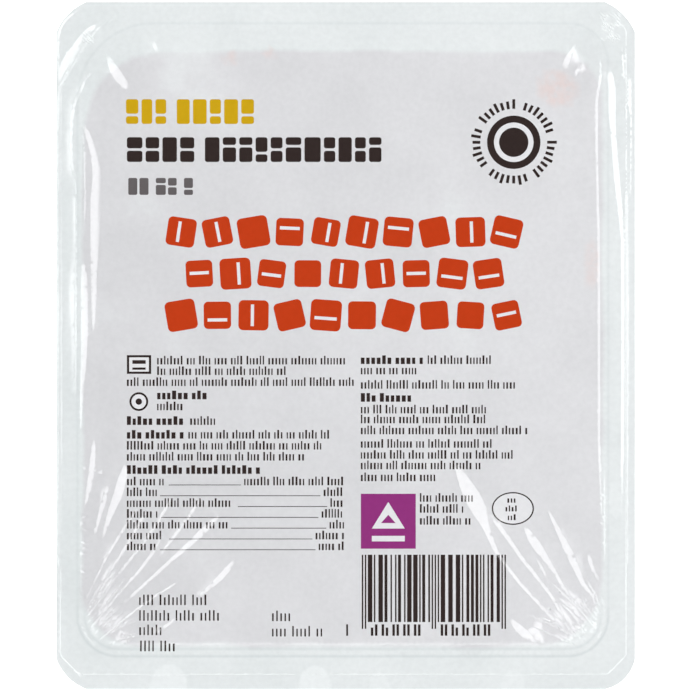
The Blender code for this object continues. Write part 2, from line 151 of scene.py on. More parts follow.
# Folds of the film as (facing, path): a path's points are (x, y, width), and facing is +1 where the fold's
# face looks right and -1 where it looks left
FOLDS = (
    # Left rim and the hollow's left edge
    (1, ((-62.1, 56.2, 0.44), (-62.4, 44.9, 0.55), (-62.4, 31.8, 0.65), (-62.2, 9.9, 0.65),
         (-62.2, -22.8, 0.65), (-62.5, -46.8, 0.55), (-62.6, -55.6, 0.22))),
    (1, ((-56.0, 59.5, 0.22), (-57.8, 56.0, 0.65), (-59.2, 52.9, 0.65), (-59.8, 49.9, 0.76),
         (-59.9, 42.7, 0.65), (-59.5, 36.6, 0.44))),
    (1, ((-59.2, 39.4, 0.22), (-58.8, 31.8, 0.31), (-58.8, 20.8, 0.35), (-58.9, 9.9, 0.44),
         (-58.9, -1.0, 0.35), (-59.1, -11.9, 0.22))),
    (1, ((-57.7, 49.0, 0.22), (-56.5, 46.4, 0.98), (-55.4, 43.3, 1.2), (-54.5, 39.4, 1.7),
         (-54.3, 35.7, 2.1), (-54.5, 31.8, 2.5), (-54.6, 27.4, 2.3), (-54.8, 21.9, 1.9),
         (-55.0, 15.4, 1.3), (-55.0, 9.9, 1.1), (-55.1, 2.3, 0.22))),
    (1, ((-57.5, 47.5, 0.22), (-57.1, 42.7, 0.26), (-57.0, 37.2, 0.33), (-56.9, 31.8, 0.35),
         (-57.1, 25.2, 0.22))),
    (1, ((-57.4, 19.1, 0.22), (-57.1, 14.7, 1.3), (-57.1, 9.9, 1.5), (-57.0, 3.4, 1.4),
         (-57.2, -3.2, 1.1), (-57.6, -10.8, 0.76), (-58.0, -18.4, 0.22))),
    (1, ((-55.0, -19.8, 0.22), (-55.1, -23.2, 0.98), (-55.5, -27.8, 1.2), (-56.2, -31.5, 0.98),
         (-57.1, -36.1, 0.22))),
    (1, ((-51.8, -29.6, 0.22), (-52.4, -32.4, 0.98), (-53.3, -35.8, 0.98), (-55.1, -42.2, 0.22))),
    (1, ((-47.9, -25.0, 0.22), (-48.7, -28.9, 1.9), (-49.7, -32.4, 2), (-51.6, -37.2, 1.2),
         (-53.4, -43.1, 0.22))),
    # Fan at the hollow's foot left corner
    (1, ((-57.1, -56.2, 0.22), (-54.7, -51.2, 0.31), (-52.1, -46.0, 0.39), (-49.7, -42.0, 0.48),
         (-47.3, -38.3, 0.57), (-44.9, -34.6, 0.22))),
    (1, ((-56.7, -57.5, 0.22), (-53.4, -52.3, 0.31), (-49.9, -47.0, 0.39), (-47.5, -43.1, 0.57),
         (-45.0, -38.7, 0.65), (-42.7, -35.0, 0.22))),
    (1, ((-55.9, -58.8, 0.22), (-51.9, -52.9, 0.31), (-48.0, -47.9, 0.48), (-44.7, -43.8, 0.57),
         (-40.5, -37.7, 0.76), (-37.1, -31.5, 0.22))),
    (1, ((-55.5, -62.1, 0.22), (-52.1, -57.3, 0.33), (-48.7, -53.2, 0.39), (-44.9, -49.0, 0.52),
         (-41.9, -44.9, 0.65), (-39.7, -40.5, 0.22))),
    (1, ((-55.2, -63.4, 0.22), (-50.6, -58.2, 0.35), (-45.8, -53.8, 0.48), (-42.1, -50.5, 0.6),
         (-38.3, -47.0, 0.75), (-34.4, -43.6, 1.2), (-30.7, -40.1, 1.4), (-28.1, -37.7, 0.8),
         (-27.0, -36.6, 0.22))),
    (1, ((-41.3, -46.6, 0.22), (-38.2, -42.6, 0.6), (-34.9, -38.2, 0.9), (-32.0, -34.0, 0.5),
         (-30.4, -31.6, 0.22))),
    (1, ((-54.3, -64.7, 0.22), (-49.7, -60.8, 0.35), (-45.0, -57.1, 0.48), (-41.6, -54.7, 0.48),
         (-36.0, -51.2, 0.22))),
    (1, ((-32.9, -55.6, 0.22), (-31.4, -54.2, 0.6), (-29.6, -52.7, 0.9), (-27.7, -51.0, 1.3),
         (-25.9, -49.0, 1.2), (-24.6, -47.3, 0.7), (-24.0, -46.4, 0.22))),
    (1, ((-42.3, -63.6, 0.22), (-39.9, -61.7, 0.65), (-37.5, -59.9, 0.44), (-36.0, -58.6, 0.22))),
    (1, ((-49.9, -62.5, 0.22), (-48.0, -60.4, 0.65), (-46.7, -58.4, 0.22))),
    # Fan at the hollow's foot right corner
    (-1, ((23.6, -25.2, 0.22), (24.9, -27.8, 1.7), (26.5, -30.9, 3.1), (28.0, -33.7, 3.7),
         (29.3, -36.3, 3.3), (30.6, -39.6, 1.5), (32.8, -44.9, 0.87), (35.4, -48.6, 0.65),
         (38.1, -52.0, 0.65), (43.7, -58.0, 0.57), (49.4, -64.1, 0.22))),
    (-1, ((31.1, -36.1, 0.22), (32.8, -38.5, 0.98), (35.4, -42.0, 0.87), (38.1, -46.0, 0.74),
         (41.5, -50.3, 0.65), (44.9, -54.7, 0.57), (47.4, -59.1, 0.44), (49.8, -63.9, 0.22))),
    (-1, ((38.7, -39.0, 0.22), (40.4, -41.8, 1.7), (42.0, -44.2, 2), (43.8, -46.6, 1.2),
         (45.9, -49.9, 0.65), (47.9, -53.5, 0.55), (50.3, -56.2, 0.44), (52.7, -59.1, 0.22))),
    (-1, ((41.5, -46.0, 0.22), (42.8, -48.6, 0.52), (44.2, -51.4, 0.22))),
    (-1, ((43.9, -35.3, 0.22), (46.0, -39.6, 0.87), (47.6, -42.9, 1.3), (49.3, -46.2, 1.7),
         (50.5, -49.0, 1.3), (51.8, -52.1, 0.87), (53.3, -54.0, 0.55), (55.3, -56.0, 0.22))),
    (-1, ((52.0, -49.9, 0.22), (53.8, -53.2, 0.35), (55.5, -55.8, 0.22))),
    (-1, ((52.8, -44.6, 0.22), (53.3, -47.0, 0.87), (54.4, -49.7, 0.65), (55.9, -52.3, 0.22))),
    (-1, ((35.4, -59.3, 0.22), (37.2, -61.2, 1.5), (39.1, -63.0, 1.9), (41.0, -64.4, 0.8),
         (43.6, -65.4, 0.22))),
    (-1, ((46.1, -54.7, 0.22), (48.1, -56.4, 0.44), (50.5, -58.6, 0.22))),
    # Peel corner and the hollow's top corners
    (-1, ((-62.7, 57.1, 0.22), (-62.1, 59.7, 1.3), (-61.0, 61.9, 2), (-59.4, 64.2, 2), (-57.6, 66.9, 1.6),
         (-56.0, 68.9, 1.1), (-53.6, 70.5, 0.22))),
    (1, ((-62.2, 55.3, 0.22), (-60.3, 59.8, 0.35), (-58.1, 63.7, 0.35), (-55.9, 67.0, 0.35),
         (-53.9, 69.3, 0.31), (-49.1, 72.4, 0.22))),
    (-1, ((-62.7, 58.0, 0.22), (-62.8, 62.3, 0.44), (-62.7, 67.6, 0.44), (-62.2, 69.5, 0.35),
         (-60.6, 71.6, 0.35), (-57.8, 73.6, 0.22))),
    (1, ((-52.3, 63.9, 0.22), (-51.6, 62.1, 1.1), (-50.5, 60.1, 2), (-49.4, 58.4, 2.2),
         (-48.3, 57.1, 1.5), (-46.9, 55.8, 0.22))),
    (1, ((-42.5, 67.5, 0.22), (-42.0, 66.0, 0.87), (-41.4, 64.7, 0.87), (-40.9, 63.4, 0.22))),
    (-1, ((50.7, 66.7, 0.22), (49.5, 64.5, 0.65), (48.6, 62.8, 1.3), (47.9, 61.2, 1.3), (47.2, 59.9, 0.22))),
    (-1, ((51.7, 62.1, 0.22), (51.0, 60.8, 0.76), (50.2, 59.3, 0.76), (49.5, 58.0, 0.22))),
    # Right rim and the hollow's right edge
    (-1, ((55.7, 63.4, 0.22), (55.6, 58.4, 0.48), (54.8, 53.6, 0.52), (54.8, 42.7, 0.48),
         (55.2, 25.2, 0.48), (55.3, 3.4, 0.48), (55.3, -20.6, 0.52), (55.9, -38.1, 0.22))),
    (1, ((57.5, 60.8, 0.22), (57.8, 58.8, 1.3), (58.1, 55.3, 1.6), (58.1, 51.0, 1.6), (58.2, 48.4, 1.3),
         (58.6, 43.8, 1.1), (59.2, 36.1, 1.3), (59.9, 29.6, 0.87), (60.4, 23.0, 0.61), (60.5, 9.9, 0.65),
         (60.4, -7.5, 0.44), (60.4, -22.8, 0.61), (60.1, -38.1, 0.22))),
    (1, ((61.8, 59.3, 0.22), (61.9, 57.1, 0.98), (61.9, 53.6, 0.87), (62.3, 50.1, 0.33), (62.2, 31.8, 0.22))),
    (1, ((60.2, 65.8, 0.22), (60.5, 61.9, 0.35), (60.9, 57.1, 0.22))),
    (1, ((61.4, 33.9, 0.22), (61.5, 9.9, 0.48), (61.4, -22.8, 0.48), (61.3, -49.0, 0.22))),
    (-1, ((56.5, -27.2, 0.22), (56.6, -38.1, 0.31), (56.5, -46.8, 0.22))),
)

# Fine crinkles run out from an arc at each foot corner of the hollow, as (arc centre, facing)
CRINKLE_CORNERS = (((-48.8, -58.0), 1), ((48.2, -58.0), -1))
CRINKLE_ARC = 8.8
CRINKLES = 34
CRINKLE_WIDTH = 0.27
CRINKLE_SEED = 3

# Their spread: depth of the arc, its first angle and sweep, their direction as (first, sweep, scatter), their
# length as (least, most, rare extra), bend and unevenness
CRINKLE_DEPTH = 4.0
CRINKLE_AROUND = (172.0, 96.0)
CRINKLE_TURN = (68.0, 48.0, 7.0)
CRINKLE_LENGTH = (2.0, 6.0, 10.0)
CRINKLE_BEND = 0.1
CRINKLE_UNEVEN = (0.8, 1.6)

# The sealing head's line near the trimmed edge, a low step down to the unsealed edge, which fades at the
# top, as (from y, width, share)
SEAL_LINE = (
    (61.2, 69.0), (61.2, -67.6), (57.2, -71.8), (-58.2, -71.8), (-62.3, -67.7),
    (-62.4, 56.4), (-56.5, 68.0), (-51.2, 71.1), (-47.3, 72.6), (57.0, 73.2), (61.2, 69.0),
)
SEAL_STEP = 0.075
SEAL_STEP_WIDTH = 0.35
SEAL_FADE = (68.0, 4.0, 0.7)

# Patches of the seal with knurling, as (middle x, middle y, width, length), and rows of crimps along the
# hollow's sides, as (x, low y, high y)
KNURLS = ((57.7, 69.5, 5.2, 7.2), (-56.3, 67.1, 3.0, 3.0))
KNURL_PITCH = 0.9
KNURL_RISE = 0.08
CRIMPS = ((-57.4, -52.5, -33.7), (56.2, -46.0, -29.0))
CRIMP_PITCH = 1.3
CRIMP_WIDTH = 0.7
CRIMP_SLOPE = 0.22
CRIMP_FLANK = 0.5
CRIMP_FADE = 4

# How uneven both are. Knurls: waves that bend their rows, as (size, turn across, turn along), and how far
# they are pressed, as a level and two waves. Crimps: their strength as (level, swing, turn), the turn of
# their pitch, and how their row wanders, as (size, turn)
KNURL_WANDER = ((0.35, 1.9, 2.3), (0.25, 3.1, -1.3))
KNURL_LEVEL = 0.55
KNURL_WAVES = ((1.1, -0.7), (0.6, 1.7))
CRIMP_STRENGTH = (0.8, 0.6, 1.1)
CRIMP_TURN = 0.7
CRIMP_WANDER = (0.25, 1.9)

# The film touches the meat inside this rounded box, which leaves the hollow's corners free
CONTACT_BOX = (-57.4, 55.9, -65.6, 64.3)
CONTACT_RADII = (14.0, 12.0, 19.0, 13.0)
CONTACT_BLUR = 1.2

# Where lean meat shows through faintly, and where the film stands off the rim in a blister that is painted
# pale as a highlight. Both are ovals, as (x, y, half width, half length, strength)
TOUCHES = (
    (46.2, 56.0, 4.0, 3.8, 0.8), (53.7, 17.8, 1.7, 5.0, 0.5), (-25.0, 62.6, 1.5, 1.5, 0.6),
    (-16.5, 63.8, 1.3, 1.2, 0.5),
)
BLISTERS = (
    (-38.6, -74.2, 4.0, 4.6, 1.0), (-6.7, -74.2, 3.5, 4.3, 1.0), (7.3, -74.2, 2.1, 2.9, 0.5),
    (36.5, -74.2, 2.6, 3.4, 0.6), (59.0, -33.3, 1.5, 4.4, 0.6),
)
TOUCH_BLUR = 0.5
BLISTER_HIGHLIGHT_BLUR = 0.14

# Painted shade: dark lines where the film bends over the tray's lip, as (depth, strength away from the foot,
# strength at the foot)
LIP_SHADE_LINES = ((-0.35, 0.18, 0.42), (1.25, 0.0, 0.32))
LIP_SHADE_WIDTH = 0.5

# Painted shade: the film is whitest at the pack's right side and its ends, and least so at the left
PALE_ENDS = 45.0
PALE_RIGHT = 125.0
PALE_LEVEL = 0.35
PALE_AT_ENDS = 0.4

# Colours as the photograph shows them, the share of white that the lights give back from a white surface,
# and what the gloss adds to it. The two shade colours are painted shade, mixed in towards the left and in
# random patches; the lip colour is painted shade and the blister colour a painted highlight
CONTACT_COLOUR = (230, 230, 232)
CONTACT_SHADE = (221, 221, 223)
SEAL_COLOUR = (239, 243, 243)
SEAL_SHADE = (230, 235, 235)
LIP_SHADE_COLOUR = (200, 209, 210)
TOUCH_COLOUR = (236, 216, 212)
BLISTER_HIGHLIGHT_COLOUR = (243, 247, 247)
INKS = {
    "orange": (200, 64, 12),
    "yellow": (211, 169, 6),
    "dark": (55, 45, 43),
    "grey": (105, 100, 101),
    "purple": (150, 56, 128),
    "white": (236, 236, 238),
}
LIGHT_GAIN = 0.93
SHEEN = 0.009
DARKEST = 0.002

# Surroundings: bright at the horizon and dim overhead, from one share of the height to the other
SKY_FADE = (0.35, 0.8)
SKY_LEVELS = (1.0, 0.05)
SKY_COLOUR = (0.97, 0.98, 1.0)
BACKDROP_SIZE = 4000.0
BACKDROP_LEVEL = -0.2
BACKDROP_GLOW = 0.75


def smooth(share):
    """An even S curve from 0 to 1."""
    share = np.clip(share, 0.0, 1.0)
    return share * share * (3.0 - 2.0 * share)


def arc(centre, radius, start, end, steps):
    """Points of an arc between two angles in degrees, both ends included."""
    angles = [math.radians(start + (end - start) * i / steps) for i in range(steps + 1)]
    return [(centre[0] + radius * math.cos(a), centre[1] + radius * math.sin(a)) for a in angles]


def outline(box, radii, arc_steps, side_step=None, cut=None):
    """A rounded rectangle anticlockwise from its foot right corner, its sides cut into pieces of side_step.

    With a cut, each corner's arc starts and ends that far from the corner. Without one it is tangent to the
    sides.
    """
    left, right, foot, top = box
    signs = ((1, -1), (1, 1), (-1, 1), (-1, -1))
    corners = []
    for i, ((side, end), radius) in enumerate(zip(signs, radii)):
        slack = math.acos((cut or radius) / (radius * math.sqrt(2.0))) - math.pi / 4
        setback = radius * math.cos(slack)
        corner = (right if side > 0 else left, top if end > 0 else foot)
        centre = (corner[0] - side * setback, corner[1] - end * setback)
        short = math.degrees(slack)
        corners.append(arc(centre, radius, -90 + 90 * i + short, 90 * i - short, arc_steps))
    points = []
    for corner, following in zip(corners, corners[1:] + corners[:1]):
        points += corner
        if side_step:
            start = Vector(corner[-1])
            end = Vector(following[0])
            pieces = max(round((end - start).length / side_step), 1)
            points += [tuple(start.lerp(end, i / pieces)) for i in range(1, pieces)]
    return points


def trim_outline(arc_steps, side_step=None):
    """The edge to which rim and film are cut together."""
    box = (TRAY_LOW.x, TRAY_HIGH.x, TRAY_LOW.y, TRAY_HIGH.y)
    return outline(box, TRIM_RADII, arc_steps, side_step, TRIM_CUT)


def hollow_box(inset):
    return (HOLLOW_LEFT + inset, HOLLOW_RIGHT - inset, HOLLOW_FOOT + inset, HOLLOW_TOP - inset)


def hollow_radii(inset):
    """Corner radii of the hollow at this inset: foot right, top right, top left (peel corner), foot left."""
    full = (HOLLOW_RADIUS, HOLLOW_RADIUS, PEEL_RADIUS, HOLLOW_RADIUS)
    return [np.maximum(radius - RADIUS_LOSS * inset, LEAST_RADIUS) for radius in full]


def hollow_outline(inset, arc_steps, side_step=None):
    return outline(hollow_box(inset), hollow_radii(inset), arc_steps, side_step)


def box_round(x, y, half_width, half_length):
    """Left, right, foot and top of the box round a point."""
    return (x - half_width, x + half_width, y - half_length, y + half_length)


def depth_in_box(x, y, box, radii):
    """How far points lie inside a rounded box, negative outside it."""
    left, right, foot, top = box
    north = y > (foot + top) / 2
    east = x > (left + right) / 2
    radius = np.where(east, np.where(north, radii[1], radii[0]), np.where(north, radii[2], radii[3]))
    across = np.abs(x - (left + right) / 2) - ((right - left) / 2 - radius)
    along = np.abs(y - (foot + top) / 2) - ((top - foot) / 2 - radius)
    corner = np.hypot(np.maximum(across, 0.0), np.maximum(along, 0.0))
    return radius - corner - np.minimum(np.maximum(across, along), 0.0)


def depth_inside(x, y, inset=0.0):
    """How far points lie inside the hollow's outline at this inset."""
    return depth_in_box(x, y, hollow_box(inset), hollow_radii(inset))


def linear(colour):
    """Scene linear values of a colour given in the photograph's 0 to 255 values."""
    shares = [value / 255 for value in colour]
    return [s / 12.92 if s <= 0.04045 else ((s + 0.055) / 1.055) ** 2.4 for s in shares]


def printed(colour):
    """The surface colour that renders as this colour under the lights."""
    return [min(max((value - SHEEN) / LIGHT_GAIN, DARKEST), 1.0) for value in linear(colour)]


# The film's form


def lump_places():
    """Where the lumps are, as (x, y, rise)."""
    rng = random.Random(LUMP_SEED)
    left, right, foot, top = hollow_box(EDGE_WIDTH)
    places = []
    for row in range(LUMP_ROWS):
        for column in range(LUMP_COLUMNS):
            x = left + (right - left) * (column + rng.uniform(*LUMP_SCATTER)) / LUMP_COLUMNS
            y = foot + (top - foot) * (row + rng.uniform(*LUMP_SCATTER)) / LUMP_ROWS
            places.append((x, y, LUMP_RISE * rng.uniform(0.0, 1.0)))
    return places


LUMPS = lump_places()


def step_down(depth, middle, width, fall):
    """A soft step that lies lower further in."""
    return fall * smooth((depth - middle) / width + 0.5)


def sagging(x, y):
    """The film's height without its folds: flat on the rim, and hanging between the rim's sides."""
    depth = depth_inside(x, y)
    from_side = (HOLLOW_RIGHT - HOLLOW_LEFT) / 2 - np.abs(x - MIDDLE_X)
    from_end = (HOLLOW_TOP - HOLLOW_FOOT) / 2 - np.abs(y - MIDDLE_Y)
    fall = EDGE_FALL * smooth(depth / EDGE_WIDTH)
    fall += SAG * smooth(from_side / SAG_WIDTH) * smooth(from_end / SAG_WIDTH)
    fall += step_down(depth, *LIP_STEP)
    near_foot = smooth((FOOT_STEPS_BELOW - y) / FOOT_STEPS_FADE)
    for step in FOOT_STEPS:
        fall += near_foot * step_down(depth, *step)
    reach = smooth((depth - EDGE_WIDTH / 2) / EDGE_WIDTH)
    for lump_x, lump_y, rise in LUMPS:
        fall -= reach * rise * np.exp(-((x - lump_x) ** 2 + (y - lump_y) ** 2) / LUMP_WIDTH ** 2)
    return FILM_TOP - fall


def along_path(points, path):
    """Signed distance of points from a path, positive to its right side, how far they are from its nearer
    end, and the path's values beside them."""
    nearest = np.full(len(points), np.inf)
    offset = np.zeros(len(points))
    run = np.zeros(len(points))
    values = np.zeros((len(points), len(path[0]) - 2))
    passed = 0.0
    for start, end in zip(path, path[1:]):
        step = np.subtract(end[:2], start[:2])
        length = np.hypot(*step)
        normal = right_normal(step)
        moved = points - start[:2]
        share = np.clip(moved @ step / length ** 2, 0.0, 1.0)
        away = moved - share[:, None] * step
        distance = np.hypot(away[:, 0], away[:, 1])
        closer = distance < nearest
        nearest[closer] = distance[closer]
        offset[closer] = (np.sign(away @ normal) * distance)[closer]
        run[closer] = (passed + share * length)[closer]
        mixed = np.outer(1 - share, start[2:]) + np.outer(share, end[2:])
        values[closer] = mixed[closer]
        passed += length
    return offset, np.minimum(run, passed - run), values


def right_normal(step):
    """The unit vector across a step that points right, or up across a level step."""
    normal = np.array((step[1], -step[0])) / np.hypot(*step)
    return -normal if normal[0] < 0 or (normal[0] == 0 and normal[1] < 0) else normal


def path_normals(path):
    """At each point of a path, the unit vector across it that points right."""
    last = len(path) - 1
    steps = [np.subtract(path[min(i + 1, last)][:2], path[max(i - 1, 0)][:2]) for i in range(last + 1)]
    return [right_normal(step) for step in steps]


def crinkles():
    """Short thin folds that fan out from the hollow's foot corners, in the same form as the folds."""
    rng = random.Random(CRINKLE_SEED)
    first_angle, sweep = CRINKLE_AROUND
    first_turn, turn_sweep, scatter = CRINKLE_TURN
    least, most, extra = CRINKLE_LENGTH
    found = []
    for (centre_x, centre_y), facing in CRINKLE_CORNERS:
        for i in range(CRINKLES):
            share = (i + rng.uniform(0.1, 0.9)) / CRINKLES
            around = math.radians(first_angle + sweep * share)
            turn = math.radians(first_turn - turn_sweep * share + rng.uniform(-scatter, scatter))
            radius = CRINKLE_ARC - rng.uniform(0.0, CRINKLE_DEPTH)
            start = (centre_x + facing * radius * math.cos(around), centre_y + radius * math.sin(around))
            length = rng.uniform(least, most) + extra * rng.random() ** 3
            bend = rng.uniform(-CRINKLE_BEND, CRINKLE_BEND)
            path = []
            for part, width in ((0.0, 0.5), (0.5, 1.0), (1.0, 0.5)):
                x = start[0] + facing * length * part * math.cos(turn + bend * part)
                y = start[1] + length * part * math.sin(turn + bend * part)
                path.append((x, y, CRINKLE_WIDTH * width * rng.uniform(*CRINKLE_UNEVEN)))
            found.append((facing, tuple(path)))
    return found


def fold_height(points, facing, path, slopes):
    """Height that a fold adds: a face of the path's width that falls to its low side, and a long flank
    behind it."""
    offset, from_end, values = along_path(points, [(*p, slope) for p, slope in zip(path, slopes)])
    width, slope = values[:, 0], values[:, 1]
    along = facing * offset
    face = np.clip(width / 2 - along, 0.0, width)
    behind = np.maximum(-along - width / 2, 0.0)
    reach = np.maximum(FOLD_REACH * width, FOLD_LEAST_REACH)
    return slope * face * np.exp(-behind / reach) * smooth(from_end / FOLD_TAPER)


def near_path(x, y, path, margin):
    """Which points lie in the box round a path."""
    xs = [p[0] for p in path]
    ys = [p[1] for p in path]
    return (x > min(xs) - margin) & (x < max(xs) + margin) & (y > min(ys) - margin) & (y < max(ys) + margin)


def sloped_folds(folds):
    """The folds with the slope that each adds at its points, so that its face mirrors a light with all
    folds there."""
    delta = SLOPE_STEP
    slopes = [np.full(len(path), FIRST_SLOPE) for _, path in folds]
    for _ in range(FOLD_ROUNDS):
        for i, (facing, path) in enumerate(folds):
            across = np.array(path_normals(path))
            places = np.array([p[:2] for p in path])
            width = np.array([p[2] for p in path])
            run = np.concatenate(([0.0], np.cumsum(np.hypot(*np.diff(places, axis=0).T))))
            along = np.stack((-across[:, 1], across[:, 0]), axis=1)
            if np.sum((places[-1] - places[0]) * along[0]) < 0:
                along = -along
            rise_along = np.gradient(slopes[i] * width / 2, run)
            steps = np.array(((delta, 0.0), (-delta, 0.0), (0.0, delta), (0.0, -delta)))
            points = (places[None] + steps[:, None]).reshape(-1, 2)
            heights = sagging(points[:, 0], points[:, 1])
            for j, (other_facing, other) in enumerate(folds):
                if j != i and near_path(points[:, 0], points[:, 1], other, CLOSE_MARGIN).any():
                    heights += fold_height(points, other_facing, other, slopes[j])
            right, left, up, down = heights.reshape(4, -1)
            gradient = np.stack((right - left, up - down), axis=1) / (2 * delta) + rise_along[:, None] * along
            gradient -= facing * slopes[i][:, None] * across
            aim = (LIGHT_ASIDE - facing * places[:, 0]) / LIGHT_HEIGHT
            wanted = np.sqrt(np.maximum(1 / aim ** 2 + 1 - gradient[:, 1] ** 2, 0.0)) - 1 / aim
            missing = (wanted + facing * gradient[:, 0]) / np.maximum(np.abs(across[:, 0]), LEAST_ACROSS)
            slopes[i] = np.clip(slopes[i] + missing, 0.0, STEEPEST_FOLD)
    return [(facing, path, slope) for (facing, path), slope in zip(folds, slopes)]


ALL_FOLDS = list(FOLDS) + crinkles()
SLOPED_FOLDS = sloped_folds(ALL_FOLDS)


def wave(x, y, across, along):
    """An even wave over the plan, which breaks up a regular pattern."""
    return np.sin(across * x + along * y)


def film_height(x, y):
    """Height of the film's upper face."""
    height = sagging(x, y)
    points = np.stack((x, y), axis=1)
    for facing, path, slopes in SLOPED_FOLDS:
        near = near_path(x, y, path, FOLD_MARGIN)
        if near.any():
            height[near] += fold_height(points[near], facing, path, slopes)
    outside = -inside_polygon_distance(points, SEAL_LINE)
    fade_from, fade_width, fade = SEAL_FADE
    step = SEAL_STEP * (1 - fade * smooth((y - fade_from) / fade_width))
    height -= step * smooth(outside / SEAL_STEP_WIDTH + 0.5)
    for middle_x, middle_y, width, length in KNURLS:
        wander = sum(size * wave(x, y, *turns) for size, *turns in KNURL_WANDER)
        across = (x - middle_x + wander) * 2 * math.pi / KNURL_PITCH
        along = (y - middle_y - wander) * 2 * math.pi / KNURL_PITCH
        edge = np.maximum(np.abs(x - middle_x) * 2 / width, np.abs(y - middle_y) * 2 / length)
        first, second = (wave(x, y, *turns) for turns in KNURL_WAVES)
        pressed = smooth(KNURL_LEVEL + first * second)
        height += KNURL_RISE * (1 + np.cos(across) * np.cos(along)) * pressed * smooth((1 - edge) * 2)
    level, swing, turn = CRIMP_STRENGTH
    size, size_turn = CRIMP_WANDER
    for middle_x, low, high in CRIMPS:
        ends = smooth((y - low) / CRIMP_FADE) * smooth((high - y) / CRIMP_FADE)
        share = ends * smooth(level + swing * np.sin(turn * y))
        share = share * (0.5 + 0.5 * np.cos(y * 2 * math.pi / CRIMP_PITCH + np.sin(CRIMP_TURN * y))) ** 2
        offset = x - middle_x + size * np.sin(size_turn * y)
        inside = np.clip(offset, -CRIMP_WIDTH / 2, CRIMP_WIDTH / 2)
        slope = math.copysign(CRIMP_SLOPE, middle_x)
        height += slope * inside * np.exp(-(np.abs(offset) - np.abs(inside)) / CRIMP_FLANK) * share
    return np.minimum(height, FILM_HIGH.z - CEILING_GAP)


def inside_polygon_distance(points, polygon):
    """Distance of points from a closed convex line, positive inside it."""
    middle = np.mean(np.array(polygon[:-1]), axis=0)
    least = np.full(len(points), np.inf)
    for start, end in zip(polygon, polygon[1:]):
        step = np.subtract(end, start)
        normal = np.array((step[1], -step[0])) / np.hypot(*step)
        if normal @ (middle - start) < 0:
            normal = -normal
        least = np.minimum(least, (points - start) @ normal)
    return least


# The print

DISC_STEPS = 48

# Rows of strokes: strokes in a word, share of tall ones, height of a short one's top over the middle, and the
# gap between words as a share of the gap between strokes
WORD = (3, 8)
TALL_SHARE = 0.3
SHORT_TOP = 0.24
WORD_GAP = 1.6

# Rows of blocks, as shares of their height: gap, slit, widths, where the slit lies, corner radius,
# how often a wider gap follows, and how wide it is
BLOCK_GAP = 0.13
BLOCK_SLIT = 0.1
BLOCK_WIDTHS = (0.42, 0.66)
BLOCK_CUTS = (0.0, 0.36, 0.5, 0.64)
BLOCK_RADIUS = 0.09
BLOCK_BREAKS = 0.14
BLOCK_BREAK = 0.3


def glyph_row(ink, left, right, middle, height, stroke, gap, rng, word=WORD, tall_share=TALL_SHARE):
    """A row of plain upright strokes in groups, which stands for a line of lettering."""
    shapes = []
    x = left
    while x < right - stroke[0]:
        for _ in range(rng.randint(*word)):
            width = rng.uniform(*stroke)
            if x + width > right:
                break
            high = middle + height * (0.5 if rng.random() < tall_share else SHORT_TOP)
            shapes.append(rectangle(ink, x, x + width, middle - height / 2, high))
            x += width + gap
        x += gap * WORD_GAP
    return shapes


def block_row(ink, left, right, middle, height, rng):
    """A row of plain rounded blocks, some split by a slit, which stands for a title."""
    shapes = []
    x = left
    gap = height * BLOCK_GAP
    slit = height * BLOCK_SLIT
    foot = middle - height / 2
    while x < right - height * BLOCK_BREAK:
        width = min(height * rng.uniform(*BLOCK_WIDTHS), right - x)
        split = rng.choice(BLOCK_CUTS)
        spans = [(foot, foot + height)]
        if split:
            cut = foot + height * split
            spans = [(foot, cut - slit / 2), (cut + slit / 2, foot + height)]
        for low, high in spans:
            shapes.append((ink, outline((x, x + width, low, high), [height * BLOCK_RADIUS] * 4, 3)))
        x += width + gap
        if rng.random() < BLOCK_BREAKS:
            x += height * BLOCK_BREAK
    return shapes


def rectangle(ink, left, right, foot, top):
    return (ink, [(left, foot), (right, foot), (right, top), (left, top)])


def disc(ink, centre, radius, squash=1.0):
    points = arc((0.0, 0.0), radius, 0, 360, DISC_STEPS)[:-1]
    return (ink, [(centre[0] + x, centre[1] + y * squash) for x, y in points])


def turned(shape, centre, degrees):
    """A shape turned about a point."""
    ink, points = shape
    c, s = math.cos(math.radians(degrees)), math.sin(math.radians(degrees))
    moved = []
    for x, y in points:
        x, y = x - centre[0], y - centre[1]
        moved.append((centre[0] + x * c - y * s, centre[1] + x * s + y * c))
    return (ink, moved)


# Widths of strokes, in millimetres, and their gap and height in the small print
SMALL_STROKE = (0.28, 0.45)
BOLD_STROKE = (0.68, 0.92)
SMALL_GAP = 0.36
SMALL_HEIGHT = 1.9

# Lines of small print as (left, right, middle height, whether bold)
LEFT_LINES = (
    (-41.2, 0.5, -3.2, False), (-41.2, -12.8, -5.5, False), (-47.8, 2.0, -7.9, False),
    (-41.2, -29.4, -10.8, True), (-41.2, -34.4, -13.2, False), (-47.8, -34.6, -16.4, True),
    (-34.0, -27.7, -16.4, False), (-47.8, -35.0, -19.4, True), (-34.4, -3.0, -19.4, False),
    (-47.8, -5.0, -21.8, False), (-47.8, -8.7, -24.2, False), (-47.8, -18.7, -27.1, True),
)
RIGHT_LINES = (
    (3.3, 17.3, -3.1, True), (17.9, 32.4, -3.1, False), (3.3, 15.6, -5.35, False),
    (3.3, 37.6, -8.5, False), (3.3, 14.7, -11.35, True), (3.3, 31.1, -13.9, False),
    (3.3, 30.6, -16.05, False), (3.3, 39.8, -18.45, False), (3.3, 32.1, -21.4, False),
    (3.3, 36.9, -23.8, False), (3.3, 29.5, -26.1, False), (3.3, 20.8, -28.7, False),
    (16.2, 28.4, -33.2, False), (16.2, 26.3, -35.6, False), (16.2, 27.3, -38.2, False),
)

